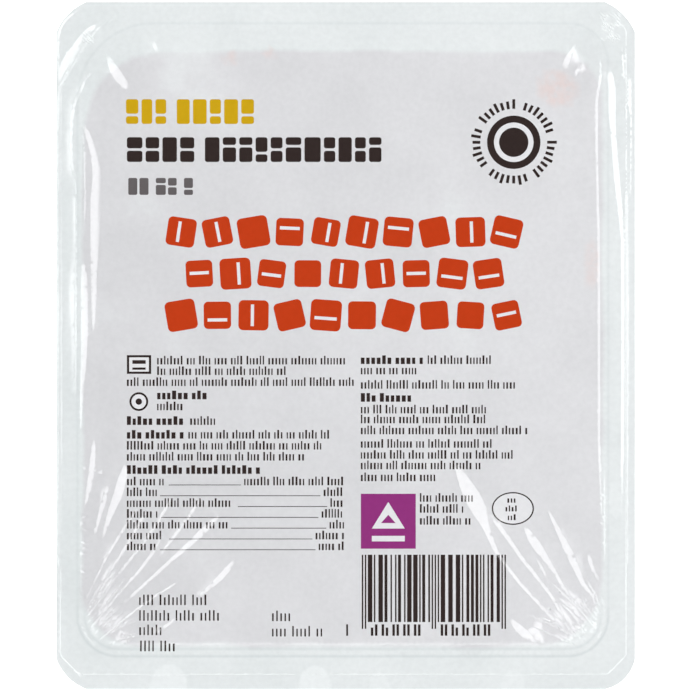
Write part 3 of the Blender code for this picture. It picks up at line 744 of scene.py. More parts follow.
# The table's rows, the widths of its words and figures, the longer figure in its first row, and its rule with
# the gap before and after it
TABLE_TOP = -29.6
TABLE_PITCH = 2.36
TABLE_ROWS = 7
TABLE_LEFT = -47.8
TABLE_RIGHT = -0.2
TABLE_WORDS = (6.0, 24.0)
TABLE_FIGURES = (3.0, 7.0)
TABLE_FIRST_FIGURE = 22.0
TABLE_RULE = 0.16
TABLE_RULE_GAPS = (0.5, 0.7)

# Rows as from an inkjet head, and their lines as (left, right, middle height)
INKJET_HEIGHT = 2.3
INKJET_STROKE = (0.3, 0.4)
INKJET_GAP = 0.55
INKJET_WORD = (4, 9)
INKJET_TALL_SHARE = 0.5
INKJET_LINES = (
    (-45.1, -30.3, -55.55), (-45.1, -27.7, -58.95), (-45.1, -39.7, -62.1), (-44.9, -36.6, -65.6),
    (-16.1, -11.7, -59.05), (-16.1, -5.0, -62.4),
)


def small_row(left, right, middle, rng, stroke=SMALL_STROKE):
    return glyph_row("dark", left, right, middle, SMALL_HEIGHT, stroke, SMALL_GAP, rng)


def small_print(rng):
    shapes = []
    for left, right, middle, bold in LEFT_LINES + RIGHT_LINES:
        shapes += small_row(left, right, middle, rng, BOLD_STROKE if bold else SMALL_STROKE)
    return shapes


def table(rng):
    """Rows of a table: a word at the left, a figure at the right and a thin rule under both."""
    shapes = []
    for row in range(TABLE_ROWS):
        middle = TABLE_TOP - TABLE_PITCH * row
        word = rng.uniform(*TABLE_WORDS)
        figure = rng.uniform(*TABLE_FIGURES) if row else TABLE_FIRST_FIGURE
        for left, right in ((TABLE_LEFT, TABLE_LEFT + word), (TABLE_RIGHT - figure, TABLE_RIGHT)):
            shapes += small_row(left, right, middle, rng)
        foot = middle - SMALL_HEIGHT / 2
        left = TABLE_LEFT + word + TABLE_RULE_GAPS[0]
        right = TABLE_RIGHT - figure - TABLE_RULE_GAPS[1]
        shapes.append(rectangle("dark", left, right, foot, foot + TABLE_RULE))
    return shapes


# Titles as (ink, left, right, middle height, height)
TITLES = (
    ("yellow", -48.0, -17.2, 51.1, 5.4), ("dark", -47.8, 8.3, 42.8, 5.4), ("grey", -47.5, -33.3, 34.75, 3.7),
)


def titles(rng):
    shapes = []
    for title in TITLES:
        shapes += block_row(*title, rng)
    return shapes


# Squares of the artwork, with their corner radius and their stripe's half length and shift as shares of
# their side
ART_LEFT = -39.9
ART_RIGHT = 39.1
ART_ROWS = (24.8, 15.7, 6.6)
ART_COUNT = 10
ART_SIDE = 6.5
ART_TURN = 15.0
ART_SIZES = (0.88, 1.05)
ART_CORNER = 0.16
STRIPED_SHARE = 0.6
STRIPE_SHIFT = 0.18
STRIPE_REACH = 0.36
STRIPE_HALF_WIDTH = 0.35


def artwork(rng):
    """Three staggered rows of tilted rounded squares, plain or with one pale stripe, like cut dice."""
    shapes = []
    pitch = (ART_RIGHT - ART_LEFT) / ART_COUNT
    for row, y in enumerate(ART_ROWS):
        stagger = 0.5 if row % 2 else 0.0
        for column in range(ART_COUNT - row % 2):
            x = ART_LEFT + pitch * (column + 0.5 + stagger)
            side = ART_SIDE * rng.uniform(*ART_SIZES)
            square = outline(box_round(x, y, side / 2, side / 2), [side * ART_CORNER] * 4, 4)
            turn = rng.uniform(-ART_TURN, ART_TURN)
            shapes.append(turned(("orange", square), (x, y), turn))
            if rng.random() < STRIPED_SHARE:
                shift = rng.uniform(-STRIPE_SHIFT, STRIPE_SHIFT) * side
                stripe = rectangle("white", *box_round(x, y + shift, side * STRIPE_REACH, STRIPE_HALF_WIDTH))
                shapes.append(turned(stripe, (x, y), turn + rng.choice((0.0, 90.0))))
    return shapes


# The stamp: every third tick is longer and every eighth is left out, and its discs are shares of its radius
EMBLEM_MIDDLE = (36.7, 44.4)
EMBLEM_RADIUS = 9.4
EMBLEM_TICKS = 40
EMBLEM_GROUP = 8
TICK_HALF_WIDTH = 0.32
TICK_LENGTH = 2.1
TICK_SHORTER = 0.4
EMBLEM_DISCS = (("dark", 0.62), ("white", 0.46), ("dark", 0.34))


def emblem():
    """A round stamp: a ring of ticks round a dark disc with a pale ring on it."""
    x, y = EMBLEM_MIDDLE
    shapes = []
    for i in range(EMBLEM_TICKS):
        if i % EMBLEM_GROUP == EMBLEM_GROUP - 1:
            continue
        low = y + EMBLEM_RADIUS - TICK_LENGTH
        high = y + EMBLEM_RADIUS - (TICK_SHORTER if i % 3 else 0.0)
        tick = rectangle("dark", x - TICK_HALF_WIDTH, x + TICK_HALF_WIDTH, low, high)
        shapes.append(turned(tick, (x, y), 360 * i / EMBLEM_TICKS))
    for ink, share in EMBLEM_DISCS:
        shapes.append(disc(ink, (x, y), EMBLEM_RADIUS * share))
    return shapes


def icons():
    """Two plain marks beside the small print, and an oval outline with bars in it."""
    left, top, foot = -47.8, -2.1, -6.2
    shapes = [
        rectangle("dark", left, left + 5.3, foot, top),
        rectangle("white", left + 0.5, left + 4.8, foot + 0.5, top - 0.5),
        rectangle("dark", left + 1.2, left + 4.1, -4.0, -3.2),
        rectangle("dark", left + 1.2, left + 4.1, -5.3, -4.8),
    ]
    middle = (-45.2, -12.25)
    shapes += [disc("dark", middle, 2.05), disc("white", middle, 1.6), disc("dark", middle, 0.7)]
    oval = (36.5, -35.6)
    shapes += [disc("dark", oval, 4.6, squash=0.78), disc("white", oval, 4.3, squash=0.77)]
    for i, width in enumerate((2.4, 3.2, 2.2)):
        left, right = oval[0] - width / 2, oval[0] + width / 2
        y = oval[1] + 1.9 * (1 - i)
        shapes += glyph_row("dark", left, right, y, 1.3, SMALL_STROKE, 0.34, random.Random(i))
    return shapes


SQUARE_BOX = (3.3, 15.3, -44.4, -32.4)


def purple_square():
    """A purple square with a plain white triangle and a bar."""
    left, right, foot, top = SQUARE_BOX
    middle = (left + right) / 2
    shapes = [rectangle("purple", left, right, foot, top)]
    shapes.append(("white", [(middle - 3.6, foot + 4.4), (middle + 3.6, foot + 4.4), (middle, top - 1.8)]))
    shapes.append(("purple", [(middle - 1.6, foot + 5.6), (middle + 1.6, foot + 5.6), (middle, top - 4.6)]))
    shapes.append(rectangle("white", middle - 3.6, middle + 3.6, foot + 1.6, foot + 2.8))
    return shapes


# The panel of bars, its module, which every bar and gap is a multiple of, and how far its guard bars and the
# strokes under it reach down. The strokes stand in pairs, as (pitch, offset of the second, width)
PANEL_BOX = (3.5, 35.0, -60.4, -45.7)
PANEL_MODULE = 0.33
BAR_MODULES = (1, 2, 2, 3, 3)
GAP_MODULES = (1, 1, 1, 2, 2)
GUARD_DROP = 1.5
STROKE_DROP = 3.0
STROKE_DROPS = (0.5, 1.2)
STROKE_PAIR = (2.35, 0.9, 0.55)


def striped_panel(rng):
    """Upright bars of mixed width, the guard bars longer, and short strokes under them."""
    left, right, foot, top = PANEL_BOX
    module = PANEL_MODULE
    pitch, second, stroke_width = STROKE_PAIR
    low = foot - STROKE_DROP
    guards = (left, (left + right) / 2 - module * 1.5, right - module * 3)
    shapes = []
    for guard in guards:
        for i in (0, 2):
            x = guard + module * i
            shapes.append(rectangle("dark", x, x + module, foot - GUARD_DROP, top))
    for start, end in zip(guards, guards[1:]):
        x = start + module * 4
        while x < end - module * 2:
            width = module * rng.choice(BAR_MODULES)
            shapes.append(rectangle("dark", x, min(x + width, end - module), foot, top))
            x += width + module * rng.choice(GAP_MODULES)
        x = start + module * 6
        while x < end - module * 6:
            for stroke in (x, x + second):
                high = foot - rng.choice(STROKE_DROPS)
                shapes.append(rectangle("dark", stroke, stroke + stroke_width, low, high))
            x += pitch
    shapes.append(rectangle("dark", left - 3.4, left - 3.0, low, foot - STROKE_DROPS[0]))
    return shapes


def inkjet(rng):
    shapes = []
    for left, right, middle in INKJET_LINES:
        shapes += glyph_row("dark", left, right, middle, INKJET_HEIGHT, INKJET_STROKE, INKJET_GAP,
                            rng, INKJET_WORD, INKJET_TALL_SHARE)
    return shapes


PRINT_SEED = 7


def all_print():
    """Every printed shape in the order of printing, as (ink, outline)."""
    rng = random.Random(PRINT_SEED)
    shapes = titles(rng) + artwork(rng) + emblem() + icons() + purple_square()
    return shapes + small_print(rng) + table(rng) + striped_panel(rng) + inkjet(rng)


# Meshes

# Spacing of the film's points: on the print's sides, all over, along the hollow's edge at these depths,
# along the folds, over the blisters, and across the seal line
LONGEST_PRINT_EDGE = 0.9
GRID_STEP = 1.5
EDGE_RINGS = (-0.75, -0.35, 0.0, 0.3, 0.6, 0.9, 1.25, 1.6, 2.0, 2.5, 3.1, 4.0, 5.2)
RING_STEP = 1.3
RAIL_STEP = 0.9
BLISTER_STEP = 0.4
SEAL_RAILS = (-0.18, 0.0, 0.18)
CRIMP_REACH = 1.3
EDGE_MARGIN = 0.15
TRIM_ARC_STEPS = 24
TRIM_STEP = 2.0
TRAY_ARC_STEPS = 14


def area(polygon):
    """Signed area, positive for an anticlockwise polygon."""
    pairs = zip(polygon, polygon[1:] + polygon[:1])
    return 0.5 * sum(x0 * y1 - x1 * y0 for (x0, y0), (x1, y1) in pairs)


def split_edges(polygon, longest):
    """The same closed outline with its long edges split up, so that it can follow a curved sheet."""
    points = []
    for start, end in zip(polygon, list(polygon[1:]) + list(polygon[:1])):
        length = math.hypot(end[0] - start[0], end[1] - start[1])
        pieces = max(math.ceil(length / longest), 1)
        for i in range(pieces):
            share = i / pieces
            points.append((start[0] + (end[0] - start[0]) * share, start[1] + (end[1] - start[1]) * share))
    return points


def triangulate(edge, points, shapes=()):
    """Triangles inside a closed edge through extra points, split along the shapes' sides.

    Returns the points, the triangles, for each triangle the last shape that covers it or -1, and the edge's
    own points in order.
    """
    places = [tuple(p) for p in edge]
    faces = [list(range(len(edge)))]
    for shape in shapes:
        ordered = split_edges(shape if area(shape) > 0 else shape[::-1], LONGEST_PRINT_EDGE)
        faces.append(list(range(len(places), len(places) + len(ordered))))
        places += ordered
    places += [tuple(p) for p in points]
    made = delaunay_2d_cdt([Vector(p) for p in places], [], faces, 0, 1e-5, True)
    vertices, _, triangles, origins, _, covers = made
    kept = [(t, max(c) - 1) for t, c in zip(triangles, covers) if c]
    renamed = {}
    for i, sources in enumerate(origins):
        for source in sources:
            if source < len(edge):
                renamed[source] = i
    rim = [renamed[i] for i in range(len(edge))]
    return np.array([tuple(v) for v in vertices]), [t for t, _ in kept], [c for _, c in kept], rim


def make_object(name, points, faces, look, sharp_angle=None):
    """A mesh object from points in millimetres."""
    mesh = bpy.data.meshes.new(name)
    mesh.from_pydata([tuple(p) for p in np.array(points) * MM], [], [tuple(int(i) for i in f) for f in faces])
    mesh.materials.append(look)
    mesh.shade_smooth()
    if sharp_angle:
        mesh.set_sharp_from_angle(angle=math.radians(sharp_angle))
    obj = bpy.data.objects.new(name, mesh)
    bpy.context.scene.collection.objects.link(obj)
    return obj


def grid(box, step):
    """Points at the middles of square cells over a box."""
    left, right, foot, top = box
    xs = np.arange(left + step / 2, right, step)
    ys = np.arange(foot + step / 2, top, step)
    return [(x, y) for y in ys for x in xs]


def fold_rails(path):
    """Points along a fold: on its edges, just beside them and on its flanks."""
    points = []
    normals = path_normals(path)
    for (start, end), (first, last) in zip(zip(path, path[1:]), zip(normals, normals[1:])):
        length = math.hypot(end[0] - start[0], end[1] - start[1])
        pieces = max(round(length / RAIL_STEP), 2)
        for i in range(pieces):
            share = (i + 0.5) / pieces
            middle = np.array(start[:2]) * (1 - share) + np.array(end[:2]) * share
            normal = first * (1 - share) + last * share
            half = (start[2] * (1 - share) + end[2] * share) / 2
            for offset in (0.0, 0.9 * half, half + 0.1, half + 0.6):
                points.append(tuple(middle + normal * offset))
                if offset:
                    points.append(tuple(middle - normal * offset))
    return points


def film_points():
    """The film's inner points: an even grid, finer at the hollow's edge, and denser on folds and knurls."""
    points = grid((TRAY_LOW.x, TRAY_HIGH.x, TRAY_LOW.y, TRAY_HIGH.y), GRID_STEP)
    for inset in EDGE_RINGS:
        points += hollow_outline(inset, 10, RING_STEP)
    for _, path in ALL_FOLDS:
        points += fold_rails(path)
    for middle_x, middle_y, width, length in KNURLS:
        points += grid(box_round(middle_x, middle_y, width / 2, length / 2), KNURL_PITCH / 6)
    for middle_x, middle_y, half_width, half_length, _ in BLISTERS:
        points += grid(box_round(middle_x, middle_y, half_width + 0.5, half_length + 0.5), BLISTER_STEP)
    for middle_x, low, high in CRIMPS:
        points += grid((middle_x - CRIMP_REACH, middle_x + CRIMP_REACH, low, high), CRIMP_PITCH / 6)
    for start, end in zip(SEAL_LINE, SEAL_LINE[1:]):
        step = np.subtract(end, start)
        length = np.hypot(*step)
        normal = np.array((step[1], -step[0])) / length
        for share in np.arange(0.5, length) / length:
            for offset in SEAL_RAILS:
                points.append(tuple(np.array(start) + step * share + normal * offset))
    kept = np.array(points)
    inside = edge_distance(kept[:, 0], kept[:, 1]) > EDGE_MARGIN
    return [tuple(p) for p in kept[inside]]


def edge_distance(x, y):
    """Distance inside the trimmed edge, close enough for keeping points off it."""
    from_side = TRAY_HIGH.x - np.abs(x)
    from_end = TRAY_HIGH.y - np.abs(y)
    corner = from_side + from_end - TRIM_CUT * 0.72
    return np.minimum(np.minimum(from_side, from_end), corner * 0.7)


def film_normals(x, y):
    """Normals of the film's upper face."""
    delta = 0.02
    across = (film_height(x + delta, y) - film_height(x - delta, y)) / (2 * delta)
    along = (film_height(x, y + delta) - film_height(x, y - delta)) / (2 * delta)
    normals = np.stack((-across, -along, np.ones(len(x))), axis=1)
    return normals / np.linalg.norm(normals, axis=1)[:, None]


def make_film(look):
    """The printed film: two like sheets a film's thickness apart, split along the print."""
    shapes = all_print()
    edge = trim_outline(TRIM_ARC_STEPS, TRIM_STEP)
    plan, sheet, covers, rim = triangulate(edge, film_points(), [points for _, points in shapes])
    top = film_height(plan[:, 0], plan[:, 1])
    points = np.vstack((np.column_stack((plan, top)), np.column_stack((plan, top - FILM))))
    shift = len(plan)
    faces = list(sheet) + [tuple(i + shift for i in reversed(face)) for face in sheet]
    for start, end in zip(rim, rim[1:] + rim[:1]):
        faces.append((start, start + shift, end + shift, end))
    film = make_object("printed_film", points, faces, look)
    paint_film(film.data, plan, covers, [ink for ink, _ in shapes])
    normals = film_normals(plan[:, 0], plan[:, 1])
    set_normals(film.data, np.vstack((normals, -normals)), 2 * len(sheet))
    return film


def set_normals(mesh, normals, count):
    """Gives the first faces of a mesh these exact point normals, and the rest their own face's."""
    corners = np.zeros(len(mesh.loops), int)
    mesh.loops.foreach_get("vertex_index", corners)
    wanted = normals[corners]
    for face in mesh.polygons[count:]:
        wanted[face.loop_start:face.loop_start + face.loop_total] = face.normal
    mesh.normals_split_custom_set(wanted.tolist())


def paint_film(mesh, plan, covers, inks):
    """Stores the print on each corner, and on each point what the film lies on and how pale it is, with the
    painted shade across the film and at the lip, and the painted highlight on the blisters.
    """
    ink = mesh.attributes.new("ink", "FLOAT_COLOR", "CORNER")
    colours = np.zeros((len(mesh.loops), 4), np.float32)
    for face, cover in zip(mesh.polygons, covers):
        if cover >= 0:
            colours[face.loop_start:face.loop_start + face.loop_total] = (*printed(INKS[inks[cover]]), 1.0)
    ink.data.foreach_set("color", colours.ravel())
    x, y = np.vstack((plan, plan)).T
    contact = depth_in_box(x, y, CONTACT_BOX, CONTACT_RADII) / CONTACT_BLUR
    store(mesh, "contact", smooth(contact / 2 + 0.5))
    # depth and near_foot place the painted shade lines at the lip
    store(mesh, "depth", depth_inside(x, y))
    store(mesh, "near_foot", smooth((FOOT_STEPS_BELOW - y) / FOOT_STEPS_FADE))
    # The pressed value is painted shade: the film darker towards the left, where less light falls, and less
    # so towards the ends
    from_end = smooth((TRAY_HIGH.y - np.abs(y)) / PALE_ENDS)
    store(mesh, "pressed", (PALE_LEVEL - x / PALE_RIGHT) * (PALE_AT_ENDS + (1 - PALE_AT_ENDS) * from_end))
    store(mesh, "over_meat", in_ovals(x, y, TOUCHES, TOUCH_BLUR))
    # Where the blisters get their painted highlight
    store(mesh, "blister_highlight", in_ovals(x, y, BLISTERS, BLISTER_HIGHLIGHT_BLUR))


def in_ovals(x, y, ovals, blur):
    """How strongly points are covered by any of these soft ovals."""
    share = np.zeros(len(x))
    for middle_x, middle_y, half_width, half_length, strength in ovals:
        away = np.hypot((x - middle_x) / half_width, (y - middle_y) / half_length)
        share = np.maximum(share, strength * smooth((1.0 - away) / blur + 0.5))
    return share


def store(mesh, name, values):
    """Keeps one value for each point of a mesh under a name that its material reads."""
    made = mesh.attributes.new(name, "FLOAT", "POINT")
    made.data.foreach_set("value", np.asarray(values, np.float32))


def section(height):
    """The tray's inner face from the hollow's edge down to its floor, as (inset, height)."""
    lip = arc((0.0, height - LIP_RADIUS), LIP_RADIUS, 90, 0, 8)
    soft, slight = LEDGE_SOFTENING
    ledge = [
        (LEDGE_INSET - soft, height - LEDGE_DROP + soft),
        (LEDGE_INSET + soft, height - LEDGE_DROP - slight),
        (LEDGE_INSET + LEDGE_WIDTH - soft, height - LEDGE_DROP - LEDGE_FALL + slight),
        (LEDGE_INSET + LEDGE_WIDTH + slight, height - LEDGE_DROP - LEDGE_FALL - soft),
    ]
    foot = arc((FOOT_INSET + FOOT_RADIUS, WALL + FOOT_RADIUS), FOOT_RADIUS, 180, 270, 10)
    return lip + ledge + foot


def offset_section(inner, distance):
    """The same section moved outward and down by this distance, measured square to it."""
    moved = []
    for i, (inset, height) in enumerate(inner):
        before = inner[max(i - 1, 0)]
        after = inner[min(i + 1, len(inner) - 1)]
        first = Vector((inset - before[0], height - before[1])).normalized()
        second = Vector((after[0] - inset, after[1] - height)).normalized()
        if i == 0:
            first = Vector((1.0, 0.0))
        if i == len(inner) - 1:
            second = Vector((1.0, 0.0))
        along = (first + second).normalized()
        stretch = distance / along.dot(second)
        moved.append((inset + along.y * stretch, height - along.x * stretch))
    return moved


def wall_inset(heights):
    """Inset of the tray's inner face at these heights."""
    inner = section(RIM_HEIGHT)
    insets = np.array([inset for inset, _ in reversed(inner)])
    levels = np.array([height for _, height in reversed(inner)])
    return np.interp(heights, levels, insets)


def rib_height(x, y):
    """How far the base is pressed up at these points."""
    rise = np.zeros(len(x))
    for i in range(RIB_COUNT):
        rib_y = MIDDLE_Y + RIB_PITCH * (i - (RIB_COUNT - 1) / 2)
        along = np.maximum(np.abs(x - MIDDLE_X) - (RIB_LENGTH - RIB_WIDTH) / 2, 0.0)
        distance = RIB_WIDTH / 2 - np.hypot(along, y - rib_y)
        rise = np.maximum(rise, RIB_RISE * smooth(distance / RIB_TAPER))
    return rise


def rib_points():
    """Points on and round the base ribs, close enough to show their rounded sides."""
    points = []
    for i in range(RIB_COUNT):
        rib_y = MIDDLE_Y + RIB_PITCH * (i - (RIB_COUNT - 1) / 2)
        for inset in np.arange(-0.2, RIB_TAPER + 0.5, 0.2):
            half_width = RIB_WIDTH / 2 - inset
            box = box_round(MIDDLE_X, rib_y, RIB_LENGTH / 2 - inset, half_width)
            points += outline(box, [half_width * 0.99] * 4, 8, 2.0)
    return points


def make_tray(look):
    """Thermoformed tray as one closed wall: rim, lip, stacking ledge, drafted sides and ribbed base."""
    inner = section(RIM_HEIGHT)
    outer = offset_section(inner, WALL)
    steps = TRAY_ARC_STEPS
    loops = [(hollow_outline(inset, steps), height) for inset, height in reversed(inner)]
    loops.append((trim_outline(steps), RIM_HEIGHT))
    loops.append((trim_outline(steps), RIM_HEIGHT - WALL))
    loops += [(hollow_outline(inset, steps), height) for inset, height in outer]
    points = [(x, y, height) for loop, height in loops for x, y in loop]
    count = len(loops[0][0])
    faces = []
    for ring in range(len(loops) - 1):
        for i in range(count):
            j = (i + 1) % count
            faces.append((ring * count + i, (ring + 1) * count + i, (ring + 1) * count + j, ring * count + j))
    for ring, level, upward in ((0, inner[-1][1], True), (len(loops) - 1, outer[-1][1], False)):
        edge = loops[ring][0]
        plan, base_faces, _, rim = triangulate(edge, rib_points())
        heights = level + rib_height(plan[:, 0], plan[:, 1])
        joined = {}
        for i, vertex in enumerate(rim):
            joined[vertex] = ring * count + i
        for i, (x, y) in enumerate(plan):
            if i not in joined:
                joined[i] = len(points)
                points.append((x, y, heights[i]))
        for face in base_faces:
            face = [joined[i] for i in face]
            faces.append(face if upward else list(reversed(face)))
    return make_object("clear_tray", points, faces, look, sharp_angle=50.0)


# The dice: their size, how far they are moved off their places, and their turns in degrees against a wall
# and away from it
DIE_SIDE = 9.2
DIE_PITCH = 8.9
LAYERS = 3
VISIBLE_RINGS = 2
DICE_SEED = 8
DIE_CELLS = 6
DIE_SIZES = (0.84, 1.2)
DIE_CLEARANCE = (0.1, 0.45)
DIE_SHIFT = 1.5
DIE_SHIFT_AT_WALL = 0.3
DIE_LIFT = 1.0
TILT_AT_WALL = 24
TILT_ALONG_WALL = 14
TURN_AT_WALL = 16
INNER_TURNS = (20, 20, 90)
CORNER_SHIFT = 0.1
GRAIN_TILT = 20
GRAIN_SPREAD = 200
SETTLE_ROUNDS = 4
CORE_INSET = 19.0
CORE_LOW = 9.0
CORE_DROP = 2.0


def die_template():
    """A rounded cube of half size 1 as points and faces."""
    steps = np.linspace(-1.0, 1.0, DIE_CELLS + 1)
    index = {}
    points = []
    faces = []

    def vertex(p):
        key = tuple(round(c, 5) for c in p)
        if key not in index:
            index[key] = len(points)
            points.append(key)
        return index[key]

    for axis in range(3):
        for side in (-1.0, 1.0):
            for i in range(DIE_CELLS):
                for j in range(DIE_CELLS):
                    quad = []
                    for a, b in ((i, j), (i + 1, j), (i + 1, j + 1), (i, j + 1)):
                        p = [steps[a], steps[b]]
                        p.insert(axis, side)
                        quad.append(vertex(p))
                    swap = (side > 0) == (axis == 1)
                    faces.append(tuple(reversed(quad)) if swap else tuple(quad))
    cube = np.array(points)
    rounding = (np.abs(cube) ** 9).sum(axis=1) ** (1 / 9)
    return cube / rounding[:, None] * 1.02, faces


def die_places(rng):
    """Middle, half sizes and turn of every die that can show: the base layer, and the outer rings above
    it."""
    low = WALL + 0.2 + DIE_SIDE / 2
    high = FILM_TOP - EDGE_FALL - SAG - DIE_SIDE / 2
    places = []
    for layer in range(LAYERS):
        height = low + (high - low) * layer / (LAYERS - 1)
        inset = float(wall_inset(height - DIE_SIDE / 3)) + DIE_SIDE / 2 - 0.3
        left, right, foot, top = hollow_box(inset)
        columns = round((right - left) / DIE_PITCH) + 1 - layer % 2
        rows = round((top - foot) / DIE_PITCH) + 1 - layer % 2
        for row in range(rows):
            for column in range(columns):
                ring = min(row, rows - 1 - row, column, columns - 1 - column)
                if layer and ring >= VISIBLE_RINGS:
                    continue
                at_side = column in (0, columns - 1)
                at_end = row in (0, rows - 1)
                x = left + (right - left) * column / (columns - 1)
                x += rng.uniform(-1, 1) * (DIE_SHIFT_AT_WALL if at_side else DIE_SHIFT)
                y = foot + (top - foot) * row / (rows - 1)
                y += rng.uniform(-1, 1) * (DIE_SHIFT_AT_WALL if at_end else DIE_SHIFT)
                z = height + rng.uniform(-DIE_LIFT, DIE_LIFT)
                half = [DIE_SIDE / 2 * rng.uniform(*DIE_SIZES) for _ in range(3)]
                limits = INNER_TURNS
                if ring == 0:
                    tilts = [TILT_AT_WALL if near else TILT_ALONG_WALL for near in (at_side, at_end)]
                    limits = (*tilts, TURN_AT_WALL)
                turn = Euler([math.radians(rng.uniform(-limit, limit)) for limit in limits])
                places.append((np.array((x, y, z)), np.array(half), np.array(turn.to_matrix())))
    return places


def settle(points, clearance):
    """Presses points that stick out of the tray or into the film back against them, up to this clearance."""
    for _ in range(SETTLE_ROUNDS):
        x, y, z = points.T
        inset = wall_inset(z) + clearance
        delta = 0.05
        missing = -depth_inside(x, y, inset)
        slope_x = (depth_inside(x + delta, y, inset) - depth_inside(x - delta, y, inset)) / (2 * delta)
        slope_y = (depth_inside(x, y + delta, inset) - depth_inside(x, y - delta, inset)) / (2 * delta)
        push = np.maximum(missing, 0.0)
        points = np.stack((x + push * slope_x, y + push * slope_y, z), axis=1)
    floor = WALL + rib_height(points[:, 0], points[:, 1]) + clearance
    ceiling = film_height(points[:, 0], points[:, 1]) - FILM - clearance
    points[:, 2] = np.clip(points[:, 2], floor, ceiling)
    return points


def core_points(cube):
    """A plain lump of meat inside the rings of dice."""
    left, right, foot, top = hollow_box(CORE_INSET)
    high = FILM_TOP - EDGE_FALL - SAG - CORE_DROP
    half = np.array((right - left, top - foot, high - CORE_LOW)) / 2
    return cube * half + np.array((MIDDLE_X, MIDDLE_Y, (high + CORE_LOW) / 2))


def make_dice(look):
    """The dice as one mesh, each with its own grain of lean and fat, round a plain core."""
    rng = random.Random(DICE_SEED)
    cube, cube_faces = die_template()
    corners = [(i, j, k) for i in (0, 1) for j in (0, 1) for k in (0, 1)]
    share = (cube + 1) / 2
    points = []
    grain = []
    for middle, half, turn in die_places(rng):
        shape = cube.copy()
        for corner in corners:
            weight = np.prod(np.where(corner, share, 1 - share), axis=1)
            shape += weight[:, None] * np.array([rng.uniform(-CORNER_SHIFT, CORNER_SHIFT) for _ in range(3)])
        local = shape * half
        points.append(local @ turn.T + middle)
        turns = [90 * rng.choice((0, 0, 1)) + rng.uniform(-GRAIN_TILT, GRAIN_TILT) for _ in range(3)]
        lay = Euler([math.radians(degrees) for degrees in turns])
        shift = np.array([rng.uniform(0, GRAIN_SPREAD) for _ in range(3)])
        grain.append(local @ np.array(lay.to_matrix()) + shift)
    clearances = np.repeat([rng.uniform(*DIE_CLEARANCE) for _ in points], len(cube))
    settled = settle(np.vstack(points), clearances)
    settled = np.vstack((settled, core_points(cube)))
    grain.append(core_points(cube))
    faces = [tuple(start * len(cube) + i for i in face) for start in range(len(grain)) for face in cube_faces]
    dice = make_object("bacon_heap", settled, faces, look, sharp_angle=60.0)
    stored = dice.data.attributes.new("grain", "FLOAT_VECTOR", "POINT")
    stored.data.foreach_set("vector", np.vstack(grain).astype(np.float32).ravel())
    return dice


# Materials

# Lowest and highest roughness, and the film's fine grain as shares of its brightness
FILM_ROUGHNESS = (0.14, 0.2)
FILM_GRAIN = (0.975, 1.02)
TRAY_ROUGHNESS = (0.02, 0.07)
MEAT_ROUGHNESS = (0.2, 0.4)
TRAY_TINT = (0.93, 0.97, 0.97)
TRAY_SHADOW = (0.95, 0.98, 0.98)


class Nodes:
    """Short ways to add and link the nodes of one material."""

    def __init__(self, name):
        self.material = bpy.data.materials.new(name)
        self.material.use_nodes = True
        self.tree = self.material.node_tree
        self.shader = self.tree.nodes["Principled BSDF"]
        self.output = self.tree.nodes["Material Output"]

    def add(self, kind, **settings):
        node = self.tree.nodes.new(kind)
        for name, value in settings.items():
            setattr(node, name, value)
        return node

    def link(self, source, target):
        self.tree.links.new(source, target)

    def attribute(self, name, socket="Fac"):
        return self.add("ShaderNodeAttribute", attribute_name=name).outputs[socket]

    def place(self):
        """Where a point is on its object, in metres."""
        return self.add("ShaderNodeTexCoord").outputs["Object"]

    def noise(self, scale, detail, source):
        node = self.add("ShaderNodeTexNoise")
        node.inputs["Scale"].default_value = scale
        node.inputs["Detail"].default_value = detail
        self.link(source, node.inputs["Vector"])
        return node.outputs["Fac"]

    def mix(self, share, first, second):
        """A colour mix. Each argument is a socket, or a plain value or colour."""
        node = self.add("ShaderNodeMix", data_type="RGBA")
        for value, socket in ((share, node.inputs[0]), (first, node.inputs[6]), (second, node.inputs[7])):
            if isinstance(value, bpy.types.NodeSocket):
                self.link(value, socket)
            elif isinstance(value, (int, float)):
                socket.default_value = value
            else:
                socket.default_value = (*value, 1.0)
        return node.outputs[2]

    def math(self, operation, *values):
        """The result of a sum. Each value is a socket or a plain number."""
        node = self.add("ShaderNodeMath", operation=operation)
        for value, socket in zip(values, node.inputs):
            if isinstance(value, bpy.types.NodeSocket):
                self.link(value, socket)
            else:
                socket.default_value = value
        return node.outputs[0]

    def spread(self, source, low, high, new_low, new_high):
        """A value mapped from one range on to another, kept within it."""
        node = self.add("ShaderNodeMapRange")
        self.link(source, node.inputs["Value"])
        for name, value in zip(("From Min", "From Max", "To Min", "To Max"), (low, high, new_low, new_high)):
            node.inputs[name].default_value = value
        return node.outputs["Result"]

    def bump(self, height, strength, distance):
        node = self.add("ShaderNodeBump")
        node.inputs["Strength"].default_value = strength
        node.inputs["Distance"].default_value = distance
        self.link(height, node.inputs["Height"])
        self.link(node.outputs["Normal"], self.shader.inputs["Normal"])

    def set(self, **values):
        for name, value in values.items():
            self.shader.inputs[name.replace("_", " ")].default_value = value


